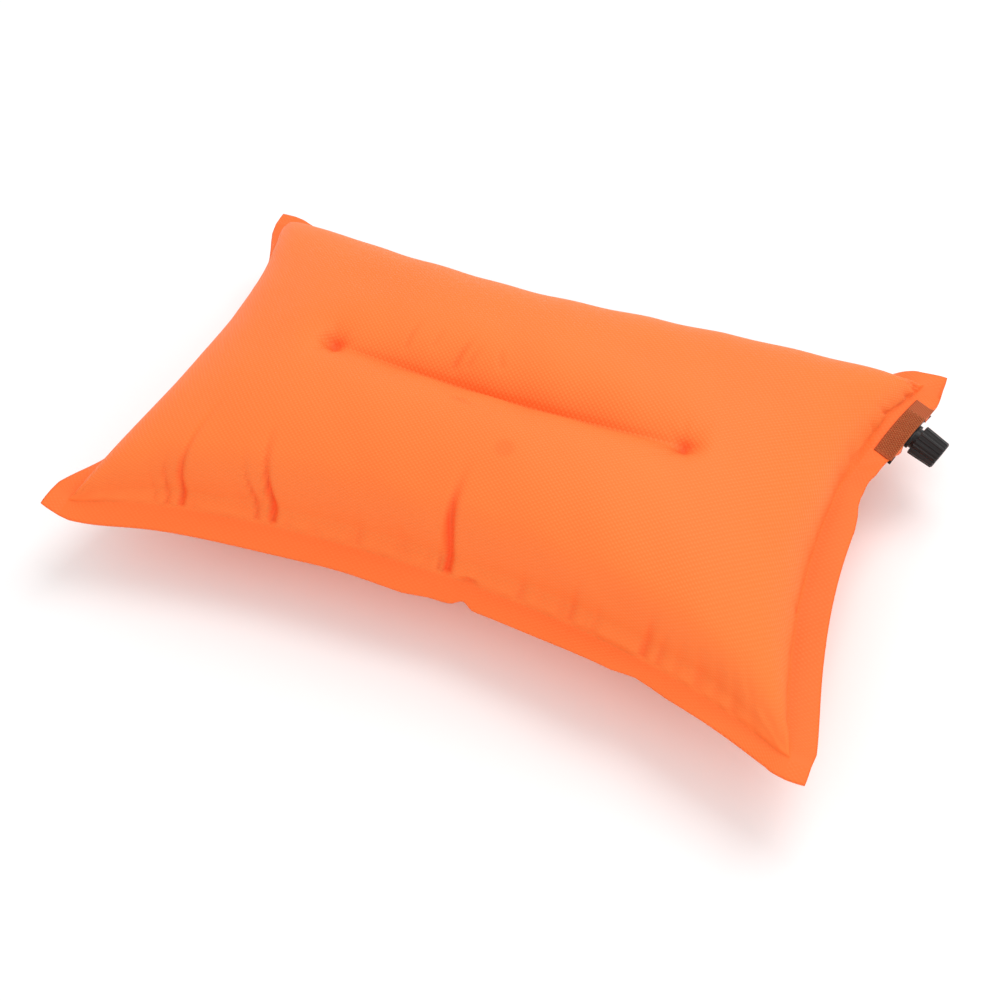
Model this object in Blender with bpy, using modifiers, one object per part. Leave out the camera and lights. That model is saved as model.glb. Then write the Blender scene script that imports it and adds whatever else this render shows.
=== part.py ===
"""Self-inflating camp pillow: two coated fabric sheets welded together round a foam core, with a screw valve.

Metres, +Z up. The pillow lies flat, its long side along X and its valve on the +X end near the +Y corner.
The origin is the centre of the whole object's box, on the surface that the pillow lies on.
"""

import math

import bmesh
import bpy
from mathutils import Matrix, Vector

# ---- Pillow, inflated ------------------------------------------------------------------------------------
PILLOW_LENGTH = 0.450        # corner tip to corner tip along X
PILLOW_DEPTH = 0.272         # corner tip to corner tip along Y
END_SAG = 0.020              # how far a short side is pulled in
END_SAG_Y = 0.008            # where it is pulled in the most
SIDE_SAG = 0.028             # how far a long side is pulled in
SIDE_SAG_X = 0.020           # where it is pulled in the most
END_CURVE = 2.0              # over 2: a flatter pull with more of the curve near the corners
SIDE_CURVE = 2.2
TIP_REACH = 0.020            # straight stretch of each side next to a corner
FLANGE_WIDTH = 0.015         # welded border outside the weld line
WELD_HEIGHT = 0.050          # weld plane above the surface that the pillow lies on
CROWN_RISE = 0.057           # top of the pillow above the weld plane
FLOOR_PRESS = 1.25           # over 1: how much of the underside is pressed flat
BULGE_POWERS = (3.0, 2.6, 0.42)        # along X, along Y, and of their product: how boxy the pillow is

SHEET_THICKNESS = 0.0006
FACE_GAP = 0.0003            # between pieces that rest on each other
FOAM_CLEARANCE = 0.0010      # foam core inside the sheets
FOAM_MARGIN = 0.012          # the foam stops at the first grid line this far inside the weld line

# ---- Crease and the tie strip that makes it --------------------------------------------------------------
CREASE_LENGTH = 0.212
CREASE_X = 0.011             # the crease sits a little towards the valve end
CREASE_TOP_DEPTH = (0.008, 0.024)     # at its ends, in its middle
CREASE_FLOOR_DEPTH = (0.003, 0.010)
CREASE_TOP_REACH = 0.045     # how far to each side the crease pulls the sheet down
CREASE_FLOOR_REACH = 0.030
CREASE_RUN_OUT = 0.016       # length of the dimple past each end
CREASE_SHARPNESS = 3         # power of the crease's sides
STRIP_THICKNESS = 0.0005
STRIP_CLEARANCE = 0.0008     # each side of the strip in the foam's slot

# ---- Valve in the flange ---------------------------------------------------------------------------------
VALVE_FROM_CORNER = 0.0395   # along Y, from the corner tip to where the valve's axis crosses the weld line
VALVE_DROP = 0.0020          # the valve's axis below the seam
VALVE_DROOP = math.radians(14)
DROOP_MARGIN = 0.006         # the flange droops fully this far past the boat
DROOP_FADE = 0.018           # and is level again this much further on
SEAT_MARGIN = 0.003          # the valve's seat keeps its full shape this far inside the weld line
SEAT_FADE = 0.018            # and is gone this much further in

TUBE_RADIUS = 0.0039         # part of the stem that is held in the boat
TUBE_WALL = 0.0010
TUBE_PROUD = 0.0025          # how far it stands out of the boat inside the pillow
FIT_CLEARANCE = 0.0003       # between hard pieces that seat in each other

BOAT_HALF_LENGTH = 0.020
BOAT_WALL = 0.0008           # above and below the stem
BOAT_TIP_RISE = 0.0006       # half the thickness of the boat's tips
BOAT_TIP_FADE = 0.006        # length over which the sheets close past a tip
BOAT_TAPER = 1.5             # power of the boat's taper to its tips
BOAT_SETBACK = 0.0023        # from the weld line to the boat's inner end
BOAT_PROUD = 0.0008          # past the flange's outer edge
BOAT_CLEARANCE = 0.0005      # between the boat and the sheets round it

PATCH_HALF_LENGTH = 0.0223
PATCH_OFFSET = -0.0035       # the patch isn't quite centred on the valve
PATCH_MARGIN = 0.0016        # flange left bare on each side of the patch
PATCH_THICKNESS = 0.0006
PATCH_CLEARANCE = 0.0007     # between a patch and its sheet, which bend over the boat

# ---- Stem and cap ----------------------------------------------------------------------------------------
COLLAR_HALF_LENGTH = 0.0087  # oval collar against the boat
COLLAR_HALF_HEIGHT = 0.0044
COLLAR_THICKNESS = 0.0018
CAP_STANDOFF = 0.0016        # neck that shows between the collar and the cap
NECK_COVER = 0.0023          # how far the neck reaches into the cap
NECK_CLEARANCE = 0.0008
BARREL_RADIUS = 0.0056
BARREL_WALL = 0.0017
PINTLE_RADIUS = 0.0023       # plug that the cap's ring closes on
PINTLE_TIP_RADIUS = 0.0016
PINTLE_RECESS = 0.0014       # tip of the plug below the cap's end
SPOKE_THICKNESS = 0.0012
SPOKE_HEIGHT = 0.0030
SPOKE_COUNT = 3

RING_RADIUS = 0.0007         # O-ring section
RING_COVER = 0.0004          # cap still past the O-ring's middle when it is open

THREAD_LEAD = 0.0040         # travel for one turn
THREAD_TURNS = 1.0
THREAD_RADIUS = 0.0006       # section of each thread ridge
THREAD_BITE = 0.0003         # how far each ridge's centre is sunk from its wall's face
THREAD_LEDGE = 0.0008        # plain barrel past the thread

CAP_LENGTH = 0.0155
CAP_TIP_WALL = 0.00135
CAP_TAPER = 0.0008           # the cap's base is wider than its tip by this, in radius
CAP_BORE_CLEARANCE = 0.0004  # outside the O-ring
CAP_END_WALL = 0.0021
CAP_OUTLET_RADIUS = 0.0030
CAP_EDGE = 0.0008            # chamfer round the cap's two ends
RIB_COUNT = 20
RIB_DEPTH = 0.0005
RIB_POINTS = 4               # of the outline of one rib and the groove next to it
GROOVE_POINTS = 2
SEAL_THICKNESS = 0.0014
SEAL_CLEARANCE = 0.0006      # between the ring in the cap and the barrel's end

# ---- Mesh fineness ---------------------------------------------------------------------------------------
CROWN_COLUMNS = 8            # grid columns from each short side to the crease
CREASE_COLUMNS = 8
CROWN_ROWS = 8               # grid rows from the front side to the crease
INNER_ROWS = 5               # grid rows from the crease to the valve
VALVE_ROWS = 12              # grid rows across the valve
VALVE_ROWS_MARGIN = 0.009    # the close rows start this far before the boat
PATCH_STEPS = 14
BOAT_STEPS = 16
RING_SIDES = 10
TURN_STEPS = 32

# ---- Sizes that follow from the ones above ---------------------------------------------------------------
WELD_HALF_LENGTH = PILLOW_LENGTH / 2 - FLANGE_WIDTH
WELD_HALF_DEPTH = PILLOW_DEPTH / 2 - FLANGE_WIDTH
VALVE_Y = PILLOW_DEPTH / 2 - VALVE_FROM_CORNER
TUBE_BORE_RADIUS = TUBE_RADIUS - TUBE_WALL
BOAT_BORE_RADIUS = TUBE_RADIUS + FIT_CLEARANCE
BOAT_RISES = {  # of the boat's middle from the seam, above and below it
    1: BOAT_BORE_RADIUS + BOAT_WALL - VALVE_DROP,
    -1: BOAT_BORE_RADIUS + BOAT_WALL + VALVE_DROP,
}

# Heights along the valve's axis are counted outwards from the flange's outer edge.
COLLAR_BASE = BOAT_PROUD + FACE_GAP
COLLAR_TOP = COLLAR_BASE + COLLAR_THICKNESS
CAP_BASE = COLLAR_TOP + CAP_STANDOFF
CAP_END = CAP_BASE + CAP_LENGTH
NECK_END = CAP_BASE + NECK_COVER
RING_HEIGHT = CAP_BASE + THREAD_LEAD + RING_COVER
SEAL_TOP = CAP_END - CAP_END_WALL - FACE_GAP
SEAL_BASE = SEAL_TOP - SEAL_THICKNESS
BARREL_END = SEAL_BASE - SEAL_CLEARANCE
THREAD_END = BARREL_END - THREAD_LEDGE
THREAD_START = THREAD_END - THREAD_LEAD * THREAD_TURNS
PINTLE_END = CAP_END - PINTLE_RECESS

BARREL_BORE_RADIUS = BARREL_RADIUS - BARREL_WALL
GROOVE_RADIUS = BARREL_RADIUS - RING_RADIUS
RING_CENTRE_RADIUS = GROOVE_RADIUS + FACE_GAP + RING_RADIUS
CAP_BORE_RADIUS = RING_CENTRE_RADIUS + RING_RADIUS + CAP_BORE_CLEARANCE
NECK_RADIUS = CAP_BORE_RADIUS - NECK_CLEARANCE
CAP_TIP_RADIUS = CAP_BORE_RADIUS + CAP_TIP_WALL
CAP_BASE_RADIUS = CAP_TIP_RADIUS + CAP_TAPER
GROOVE_CUT = 1.5 * RIB_DEPTH           # from the rib cutter's own radius, which is half a rib over the cap's
OVERRUN = 0.0004             # how far a cutter runs past the face that it cuts


# ---- Outline and height of the pillow --------------------------------------------------------------------
def side_pull(along, half_side, sag, deepest, power):
    """How far a side is pulled in at this place along it."""
    offset = along - deepest
    reach = half_side - TIP_REACH - math.copysign(deepest, deepest * offset)
    return sag * (1 - min(abs(offset) / reach, 1.0) ** power)


def weld_x(y):
    """Half the weld line's length along X at this depth."""
    return WELD_HALF_LENGTH - side_pull(y, PILLOW_DEPTH / 2, END_SAG, END_SAG_Y, END_CURVE)


def weld_y(x):
    """Half the weld line's depth along Y at this x."""
    return WELD_HALF_DEPTH - side_pull(x, PILLOW_LENGTH / 2, SIDE_SAG, SIDE_SAG_X, SIDE_CURVE)


def valve_frame():
    """The seam where the valve crosses the weld line, the flange's reach there, and the valve's axes.

    The axes run along the flange, up, and outwards.
    """
    step = 0.001
    yaw = math.atan((weld_x(VALVE_Y + step) - weld_x(VALVE_Y - step)) / (2 * step))
    on_weld = Vector((weld_x(VALVE_Y), VALVE_Y, WELD_HEIGHT))
    along = Vector((math.sin(yaw), math.cos(yaw), 0))
    outward_flat = Vector((math.cos(yaw), -math.sin(yaw), 0))
    outward = outward_flat * math.cos(VALVE_DROOP) - Vector((0, 0, math.sin(VALVE_DROOP)))
    reach = FLANGE_WIDTH * math.cos(yaw) / math.cos(VALVE_DROOP)
    return on_weld, reach, along, outward.cross(along), outward


ON_WELD, FLANGE_REACH, ALONG, UPWARD, OUTWARD = valve_frame()
OUTWARD_FLAT = Vector((OUTWARD.x, OUTWARD.y, 0)).normalized()
VALVE_PLACE = ON_WELD + OUTWARD * FLANGE_REACH - UPWARD * VALVE_DROP
BOAT_INNER = BOAT_SETBACK - FLANGE_REACH
TUBE_INNER_END = BOAT_INNER - TUBE_PROUD
VALVE_REACH = VALVE_PLACE.x + CAP_END * OUTWARD.x + CAP_TIP_RADIUS * math.sqrt(1 - OUTWARD.x**2)
OVERHANG = max(0.0, VALVE_REACH - PILLOW_LENGTH / 2)


def fade(value, full, length):
    """1 up to full, then smoothly down to 0 over length."""
    share = min(max((value - full) / length, 0.0), 1.0)
    return 1 - share * share * (3 - 2 * share)


def valve_coordinates(x, y):
    """Distance along the flange from the valve, and outwards from the weld line."""
    offset = Vector((x, y, WELD_HEIGHT)) - ON_WELD
    return offset.dot(ALONG), offset.dot(OUTWARD_FLAT)


def near_valve(outwards):
    """1 on the flange, fading to 0 inside the weld line."""
    return fade(-outwards, SEAT_MARGIN, SEAT_FADE)


def seam(x, y):
    """The point between the two sheets, and the way up from it. The valve's weight makes the flange droop."""
    along, outwards = valve_coordinates(x, y)
    droop = math.tan(VALVE_DROOP) * fade(abs(along), BOAT_HALF_LENGTH + DROOP_MARGIN, DROOP_FADE)
    way_up = Vector((0, 0, 1)) + OUTWARD_FLAT * (droop * near_valve(outwards))
    return Vector((x, y, WELD_HEIGHT - max(outwards, 0.0) * droop)), way_up.normalized()


def boat_rise(along, side):
    """How far the boat's face stands from the seam."""
    share = min(abs(along) / BOAT_HALF_LENGTH, 1.0)
    return BOAT_TIP_RISE + (BOAT_RISES[side] - BOAT_TIP_RISE) * (1 - share * share) ** BOAT_TAPER


def sheet_rise(along, outwards, side):
    """How far a sheet's inner face stands from the seam at the welds: a face gap, and room for the boat."""
    past_tip = fade(abs(along), BOAT_HALF_LENGTH, BOAT_TIP_FADE)
    room = (boat_rise(along, side) + BOAT_CLEARANCE) * past_tip
    return FACE_GAP / 2 + room * near_valve(outwards)


def crease_depth(x, y, end_and_middle, reach):
    at_end, in_middle = end_and_middle
    share = abs(x - CREASE_X) / (CREASE_LENGTH / 2)
    depth = at_end + (in_middle - at_end) * max(0.0, 1 - share * share)
    run_out = fade(abs(x - CREASE_X), CREASE_LENGTH / 2, CREASE_RUN_OUT)
    return depth * run_out * max(0.0, 1 - abs(y) / reach) ** CREASE_SHARPNESS


def fullness(u, v):
    """0 on the weld line to 1 on the crown."""
    along_x, along_y, product = BULGE_POWERS
    return ((1 - abs(u) ** along_x) * (1 - abs(v) ** along_y)) ** product


def pillow_point(u, v, side, inset=0.0):
    """A point on a sheet's inner face, or inset from it.

    u and v are -1 to 1 between weld lines, and past 1 on the flange. side is +1 on the top sheet, -1 below.
    """
    inner_u, inner_v = max(-1.0, min(1.0, u)), max(-1.0, min(1.0, v))
    x = inner_u * weld_x(inner_v * WELD_HALF_DEPTH)
    y = inner_v * weld_y(inner_u * WELD_HALF_LENGTH)
    if abs(u) > 1:
        x += math.copysign(FLANGE_WIDTH, u)
    if abs(v) > 1:
        y += math.copysign(FLANGE_WIDTH, v)
    full = fullness(inner_u, inner_v)
    opening = sheet_rise(*valve_coordinates(x, y), side)
    if side > 0:
        rise = full * (CROWN_RISE - crease_depth(x, y, CREASE_TOP_DEPTH, CREASE_TOP_REACH))
    else:
        deepest = WELD_HEIGHT - SHEET_THICKNESS - opening
        crease = crease_depth(x, y, CREASE_FLOOR_DEPTH, CREASE_FLOOR_REACH)
        rise = min(full * FLOOR_PRESS, 1.0) * (deepest - crease)
    middle, way_up = seam(x, y)
    return middle + way_up * (side * opening) + Vector((0, 0, side * (rise - inset)))


# ---- Grid lines ------------------------------------------------------------------------------------------
def eased(start, end, count):
    """count steps from start, close together there, up to end, which is left out."""
    return [start + (end - start) * (1 - math.cos(math.pi / 2 * k / count)) for k in range(count)]


def even(start, end, count):
    """count equal steps from start to end, with both of them."""
    return [start + (end - start) * k / count for k in range(count + 1)]


def grid_columns():
    first = (CREASE_X - CREASE_LENGTH / 2) / weld_x(0)
    last = (CREASE_X + CREASE_LENGTH / 2) / weld_x(0)
    crease = even(first, last, CREASE_COLUMNS)
    return eased(-1, first, CROWN_COLUMNS) + crease + eased(1, last, CROWN_COLUMNS)[::-1]


def grid_rows():
    """Rows from front to back, closer together where the valve's boat lies in the seam."""
    first = (VALVE_Y - BOAT_HALF_LENGTH - VALVE_ROWS_MARGIN) / weld_y(WELD_HALF_LENGTH)
    return eased(-1, 0, CROWN_ROWS) + even(0, first, INNER_ROWS)[:-1] + even(first, 1, VALVE_ROWS)


COLUMNS = grid_columns()
ROWS = grid_rows()
FLANGE_STEP = 2.0            # stands for the flange's outer edge in a list of grid lines


# ---- Helpers ---------------------------------------------------------------------------------------------
def clear_scene():
    for obj in list(bpy.data.objects):
        bpy.data.objects.remove(obj, do_unlink=True)


def new_collection(name):
    collection = bpy.data.collections.new(name)
    bpy.context.scene.collection.children.link(collection)
    return collection


def make_material(name, colour, roughness):
    made = bpy.data.materials.new(name)
    made.use_nodes = True
    shader = made.node_tree.nodes["Principled BSDF"]
    shader.inputs["Base Color"].default_value = (*colour, 1)
    shader.inputs["Roughness"].default_value = roughness
    return made


def add_object(name, data, parent, finish=None):
    """A new object: a part if it has a finish, otherwise a cutter that isn't rendered."""
    obj = bpy.data.objects.new(name, data)
    (parts if finish else cutters).objects.link(obj)
    obj.parent = parent
    if finish:
        data.materials.append(finish)
    else:
        obj.hide_render = True
        obj.display_type = "WIRE"
    return obj


def mesh_object(name, shape, parent, finish=None):
    bmesh.ops.recalc_face_normals(shape, faces=shape.faces)
    mesh = bpy.data.meshes.new(name)
    shape.to_mesh(mesh)
    shape.free()
    return add_object(name, mesh, parent, finish)


def as_mesh(curve, parent, finish=None):
    """Replaces a curve object by a closed mesh object of the same name and place."""
    bpy.context.view_layer.update()
    graph = bpy.context.evaluated_depsgraph_get()
    mesh = bpy.data.meshes.new_from_object(curve.evaluated_get(graph))
    name, basis = curve.name, curve.matrix_basis.copy()
    bpy.data.objects.remove(curve, do_unlink=True)
    shape = bmesh.new()
    shape.from_mesh(mesh)
    bpy.data.meshes.remove(mesh)
    bmesh.ops.remove_doubles(shape, verts=shape.verts, dist=1e-6)
    made = mesh_object(name, shape, parent, finish)
    made.matrix_basis = basis
    return made


def combine(obj, operation, other):
    modifier = obj.modifiers.new(f"{operation.lower()} {other.name}", "BOOLEAN")
    modifier.operation = operation
    modifier.solver = "EXACT"
    modifier.object = other


def solidify(obj, thickness, offset):
    modifier = obj.modifiers.new("thickness", "SOLIDIFY")
    modifier.thickness = thickness
    modifier.offset = offset


def grid_place(vertex, columns, rows):
    """The column and row that a vertex of a 2 m grid primitive stands for."""
    i = round((vertex.co.x + 1) / 2 * (len(columns) - 1))
    j = round((vertex.co.y + 1) / 2 * (len(rows) - 1))
    return columns[i], rows[j]


def grid_mesh(name, columns, rows, place, parent, finish):
    """A grid primitive with one vertex at each pair of grid lines, moved to place(column, row)."""
    shape = bmesh.new()
    bmesh.ops.create_grid(shape, x_segments=len(columns) - 1, y_segments=len(rows) - 1, size=1)
    for vertex in shape.verts:
        vertex.co = place(*grid_place(vertex, columns, rows))
    mesh = bpy.data.meshes.new(name)
    shape.to_mesh(mesh)
    shape.free()
    return add_object(name, mesh, parent, finish)


def cylinder(name, radius, start, end, parent):
    """A cutter or an addition round Z."""
    shape = bmesh.new()
    bmesh.ops.create_cone(
        shape, cap_ends=True, segments=TURN_STEPS, radius1=radius, radius2=radius, depth=end - start
    )
    bmesh.ops.translate(shape, vec=(0, 0, (start + end) / 2), verts=shape.verts)
    return mesh_object(name, shape, parent)


def turned(name, profile, parent, finish=None, closed=True):
    """A profile of (radius, height) points turned round Z. It runs down its outer side."""
    shape = bmesh.new()
    points = [shape.verts.new((radius, 0, height)) for radius, height in profile]
    for first, second in zip(points, points[1:] + points[:1] if closed else points[1:]):
        shape.edges.new((first, second))
    mesh = bpy.data.meshes.new(name)
    shape.to_mesh(mesh)
    shape.free()
    obj = add_object(name, mesh, parent, finish)
    screw = obj.modifiers.new("turn", "SCREW")
    screw.axis = "Z"
    screw.steps = screw.render_steps = TURN_STEPS
    screw.use_merge_vertices = True
    screw.merge_threshold = 0.00001
    screw.use_smooth_shade = False
    return obj


def helix(name, radius, start, end, phase, parent):
    """A right-handed thread ridge round Z, as a closed mesh."""
    curve = bpy.data.curves.new(name, "CURVE")
    curve.dimensions = "3D"
    curve.bevel_depth = THREAD_RADIUS
    curve.bevel_resolution = 2
    curve.use_fill_caps = True
    count = math.ceil(TURN_STEPS * (end - start) / THREAD_LEAD) + 1
    spline = curve.splines.new("POLY")
    spline.points.add(count - 1)
    for k, point in enumerate(spline.points):
        height = start + (end - start) * k / (count - 1)
        angle = 2 * math.pi * height / THREAD_LEAD + phase
        point.co = (radius * math.cos(angle), radius * math.sin(angle), height, 1)
    return as_mesh(add_object(name, curve, parent), parent)


def shade_round(obj):
    obj.data.shade_smooth()
    obj.data.set_sharp_from_angle(angle=math.radians(35))


# ---- Soft pieces -----------------------------------------------------------------------------------------
def make_sheet(name, side, parent, finish):
    """One half of the casing, flange included."""
    columns = [-FLANGE_STEP, *COLUMNS, FLANGE_STEP]
    rows = [-FLANGE_STEP, *ROWS, FLANGE_STEP]
    sheet = grid_mesh(name, columns, rows, lambda u, v: pillow_point(u, v, side), parent, finish)
    solidify(sheet, SHEET_THICKNESS, side)
    shade_round(sheet)
    return sheet


def make_foam(parent, finish):
    """A slab that fills the casing, cut right through for the tie strip."""
    columns = [u for u in COLUMNS if (1 - abs(u)) * weld_x(0) >= FOAM_MARGIN]
    rows = [v for v in ROWS if (1 - abs(v)) * weld_y(0) >= FOAM_MARGIN]
    shape = bmesh.new()
    bmesh.ops.create_grid(shape, x_segments=len(columns) - 1, y_segments=len(rows) - 1, size=1)
    lower = bmesh.ops.extrude_face_region(shape, geom=shape.faces[:])
    lower_points = {part for part in lower["geom"] if isinstance(part, bmesh.types.BMVert)}
    for vertex in shape.verts:
        u, v = grid_place(vertex, columns, rows)
        vertex.co = pillow_point(u, v, -1 if vertex in lower_points else 1, FOAM_CLEARANCE)
    foam = mesh_object("foam_core", shape, parent, finish)

    slot_width = STRIP_THICKNESS + 2 * STRIP_CLEARANCE
    slot = bmesh.new()
    bmesh.ops.create_cube(slot, size=1)
    size = (CREASE_LENGTH + 2 * STRIP_CLEARANCE, slot_width, 2 * (WELD_HEIGHT + CROWN_RISE))
    bmesh.ops.scale(slot, vec=size, verts=slot.verts)
    cutter = mesh_object("strip_slot", slot, parent)
    cutter.location = (CREASE_X, 0, WELD_HEIGHT)
    combine(foam, "DIFFERENCE", cutter)
    return foam


def make_tie_strip(parent, finish):
    """The web that joins the two sheets along the crease."""
    columns = [u for u in COLUMNS if abs(u * weld_x(0) - CREASE_X) <= CREASE_LENGTH / 2 + 1e-6]

    def place(u, side):
        return pillow_point(u, 0, side, FACE_GAP)

    strip = grid_mesh("tie_strip", columns, [-1, 1], place, parent, finish)
    solidify(strip, STRIP_THICKNESS, 0)
    return strip


def make_patch(name, side, parent, finish):
    """A patch on the flange, over or under the valve's boat."""

    def place(along, outwards):
        y = VALVE_Y + along * ALONG.y
        spot = Vector((weld_x(y), y, 0)) + OUTWARD_FLAT * outwards
        middle, way_up = seam(spot.x, spot.y)
        lift = sheet_rise(*valve_coordinates(spot.x, spot.y), side) + SHEET_THICKNESS + PATCH_CLEARANCE
        return middle + way_up * (side * lift)

    lengthwise = even(PATCH_OFFSET - PATCH_HALF_LENGTH, PATCH_OFFSET + PATCH_HALF_LENGTH, PATCH_STEPS)
    widthwise = [PATCH_MARGIN, FLANGE_WIDTH * OUTWARD_FLAT.x - PATCH_MARGIN]
    patch = grid_mesh(name, lengthwise, widthwise, place, parent, finish)
    solidify(patch, PATCH_THICKNESS, -side)
    return patch


# ---- Valve pieces, along the valve's own Z axis ----------------------------------------------------------
def make_valve_base(parent, finish):
    """The boat that is welded into the seam, with a bore for the stem."""
    lengthwise = even(-BOAT_HALF_LENGTH, BOAT_HALF_LENGTH, BOAT_STEPS)
    outline = [(x, VALVE_DROP + boat_rise(x, 1)) for x in lengthwise]
    outline += [(x, VALVE_DROP - boat_rise(x, -1)) for x in reversed(lengthwise)]
    curve = bpy.data.curves.new("valve_base", "CURVE")
    curve.dimensions = "2D"
    curve.fill_mode = "BOTH"
    curve.extrude = (BOAT_PROUD - BOAT_INNER) / 2
    spline = curve.splines.new("POLY")
    spline.points.add(len(outline) - 1)
    for point, (x, y) in zip(spline.points, outline):
        point.co = (x, y, 0, 1)
    spline.use_cyclic_u = True
    boat = add_object("valve_base", curve, parent)
    boat.location.z = (BOAT_PROUD + BOAT_INNER) / 2
    boat = as_mesh(boat, parent, finish)
    bore = cylinder("boat_bore", BOAT_BORE_RADIUS, BOAT_INNER - OVERRUN, BOAT_PROUD + OVERRUN, parent)
    combine(boat, "DIFFERENCE", bore)
    return boat


def make_valve_stem(parent, finish):
    """The hard insert: a tube held in the boat, an oval collar, a threaded barrel, and a plug on spokes."""
    groove_half = RING_RADIUS + FACE_GAP
    outside = [
        (0, BARREL_END),
        (BARREL_RADIUS, BARREL_END),
        (BARREL_RADIUS, RING_HEIGHT + groove_half),
        (GROOVE_RADIUS, RING_HEIGHT + groove_half),
        (GROOVE_RADIUS, RING_HEIGHT - groove_half),
        (BARREL_RADIUS, RING_HEIGHT - groove_half),
        (BARREL_RADIUS, NECK_END),
        (NECK_RADIUS, NECK_END),
        (NECK_RADIUS, COLLAR_BASE + COLLAR_THICKNESS / 2),
        (TUBE_RADIUS, COLLAR_BASE + COLLAR_THICKNESS / 2),
        (TUBE_RADIUS, TUBE_INNER_END),
        (0, TUBE_INNER_END),
    ]
    stem = turned("valve_stem", outside, parent, finish, closed=False)
    collar = cylinder("stem_collar", COLLAR_HALF_LENGTH, COLLAR_BASE, COLLAR_TOP, parent)
    for vertex in collar.data.vertices:
        vertex.co.y *= COLLAR_HALF_HEIGHT / COLLAR_HALF_LENGTH
    combine(stem, "UNION", collar)
    inside = [
        (0, BARREL_END + OVERRUN),
        (BARREL_BORE_RADIUS, BARREL_END + OVERRUN),
        (BARREL_BORE_RADIUS, COLLAR_TOP),
        (TUBE_BORE_RADIUS, COLLAR_TOP),
        (TUBE_BORE_RADIUS, TUBE_INNER_END - OVERRUN),
        (0, TUBE_INNER_END - OVERRUN),
    ]
    combine(stem, "DIFFERENCE", turned("stem_bore", inside, parent, closed=False))

    for number in range(SPOKE_COUNT):
        spoke = bmesh.new()
        bmesh.ops.create_cube(spoke, size=1)
        reach = (GROOVE_RADIUS + BARREL_BORE_RADIUS) / 2
        bmesh.ops.scale(spoke, vec=(reach, SPOKE_THICKNESS, SPOKE_HEIGHT), verts=spoke.verts)
        bmesh.ops.translate(spoke, vec=(reach / 2, 0, NECK_END + SPOKE_HEIGHT / 2), verts=spoke.verts)
        turn = Matrix.Rotation(2 * math.pi * number / SPOKE_COUNT, 3, "Z")
        bmesh.ops.rotate(spoke, cent=(0, 0, 0), matrix=turn, verts=spoke.verts)
        combine(stem, "UNION", mesh_object(f"spoke_{number + 1}", spoke, parent))
    plug = [
        (0, PINTLE_END),
        (PINTLE_TIP_RADIUS, PINTLE_END),
        (PINTLE_RADIUS, SEAL_TOP),
        (PINTLE_RADIUS, NECK_END - OVERRUN),
        (0, NECK_END - OVERRUN),
    ]
    combine(stem, "UNION", turned("pintle", plug, parent, closed=False))
    ridge = BARREL_RADIUS + THREAD_RADIUS - THREAD_BITE
    combine(stem, "UNION", helix("stem_thread", ridge, THREAD_START, THREAD_END, 0, parent))
    return stem


def make_o_ring(parent, finish):
    """The seal between the barrel and the cap's skirt."""
    turns = [2 * math.pi * k / RING_SIDES for k in range(RING_SIDES)]
    profile = [
        (RING_CENTRE_RADIUS + RING_RADIUS * math.cos(turn), RING_HEIGHT - RING_RADIUS * math.sin(turn))
        for turn in turns
    ]
    return turned("stem_o_ring", profile, parent, finish)


def make_cap_seal(parent, finish):
    """The flat ring in the cap's end, which closes on the plug."""
    inner = PINTLE_RADIUS + FIT_CLEARANCE
    outer = CAP_BORE_RADIUS - FIT_CLEARANCE
    profile = [(inner, SEAL_TOP), (outer, SEAL_TOP), (outer, SEAL_BASE), (inner, SEAL_BASE)]
    return turned("cap_seal", profile, parent, finish)


def make_valve_cap(parent, finish):
    """The ribbed screw cap, with an outlet in its end and a thread inside."""
    end_wall = CAP_END - CAP_END_WALL
    profile = [
        (CAP_OUTLET_RADIUS, CAP_END),
        (CAP_TIP_RADIUS - CAP_EDGE, CAP_END),
        (CAP_TIP_RADIUS, CAP_END - CAP_EDGE),
        (CAP_BASE_RADIUS, CAP_BASE + CAP_EDGE / 2),
        (CAP_BASE_RADIUS - CAP_EDGE / 2, CAP_BASE),
        (CAP_BORE_RADIUS, CAP_BASE),
        (CAP_BORE_RADIUS, end_wall),
        (CAP_OUTLET_RADIUS, end_wall),
    ]
    cap = turned("valve_cap", profile, parent, finish)

    ribs = bmesh.new()
    slope = (CAP_TIP_RADIUS - CAP_BASE_RADIUS) / CAP_LENGTH
    bmesh.ops.create_cone(
        ribs,
        cap_ends=True,
        segments=RIB_COUNT * RIB_POINTS,
        radius1=CAP_BASE_RADIUS - slope * OVERRUN + RIB_DEPTH / 2,
        radius2=CAP_TIP_RADIUS + slope * OVERRUN + RIB_DEPTH / 2,
        depth=CAP_LENGTH + 2 * OVERRUN,
    )
    pitch = 2 * math.pi / (RIB_COUNT * RIB_POINTS)
    for vertex in ribs.verts:
        place = round(math.atan2(vertex.co.y, vertex.co.x) / pitch) % RIB_POINTS
        if place < GROOVE_POINTS:
            flat = Vector((vertex.co.x, vertex.co.y, 0))
            vertex.co -= flat.normalized() * GROOVE_CUT
    rib_cutter = mesh_object("cap_ribs", ribs, parent)
    rib_cutter.location.z = CAP_BASE + CAP_LENGTH / 2
    combine(cap, "INTERSECT", rib_cutter)

    ridge = CAP_BORE_RADIUS - THREAD_RADIUS + THREAD_BITE
    combine(cap, "UNION", helix("cap_thread", ridge, THREAD_START, THREAD_END, math.pi, parent))
    return cap


# ---- The pillow ------------------------------------------------------------------------------------------
clear_scene()
parts = new_collection("camp_pillow")
cutters = new_collection("cutters")

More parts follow.
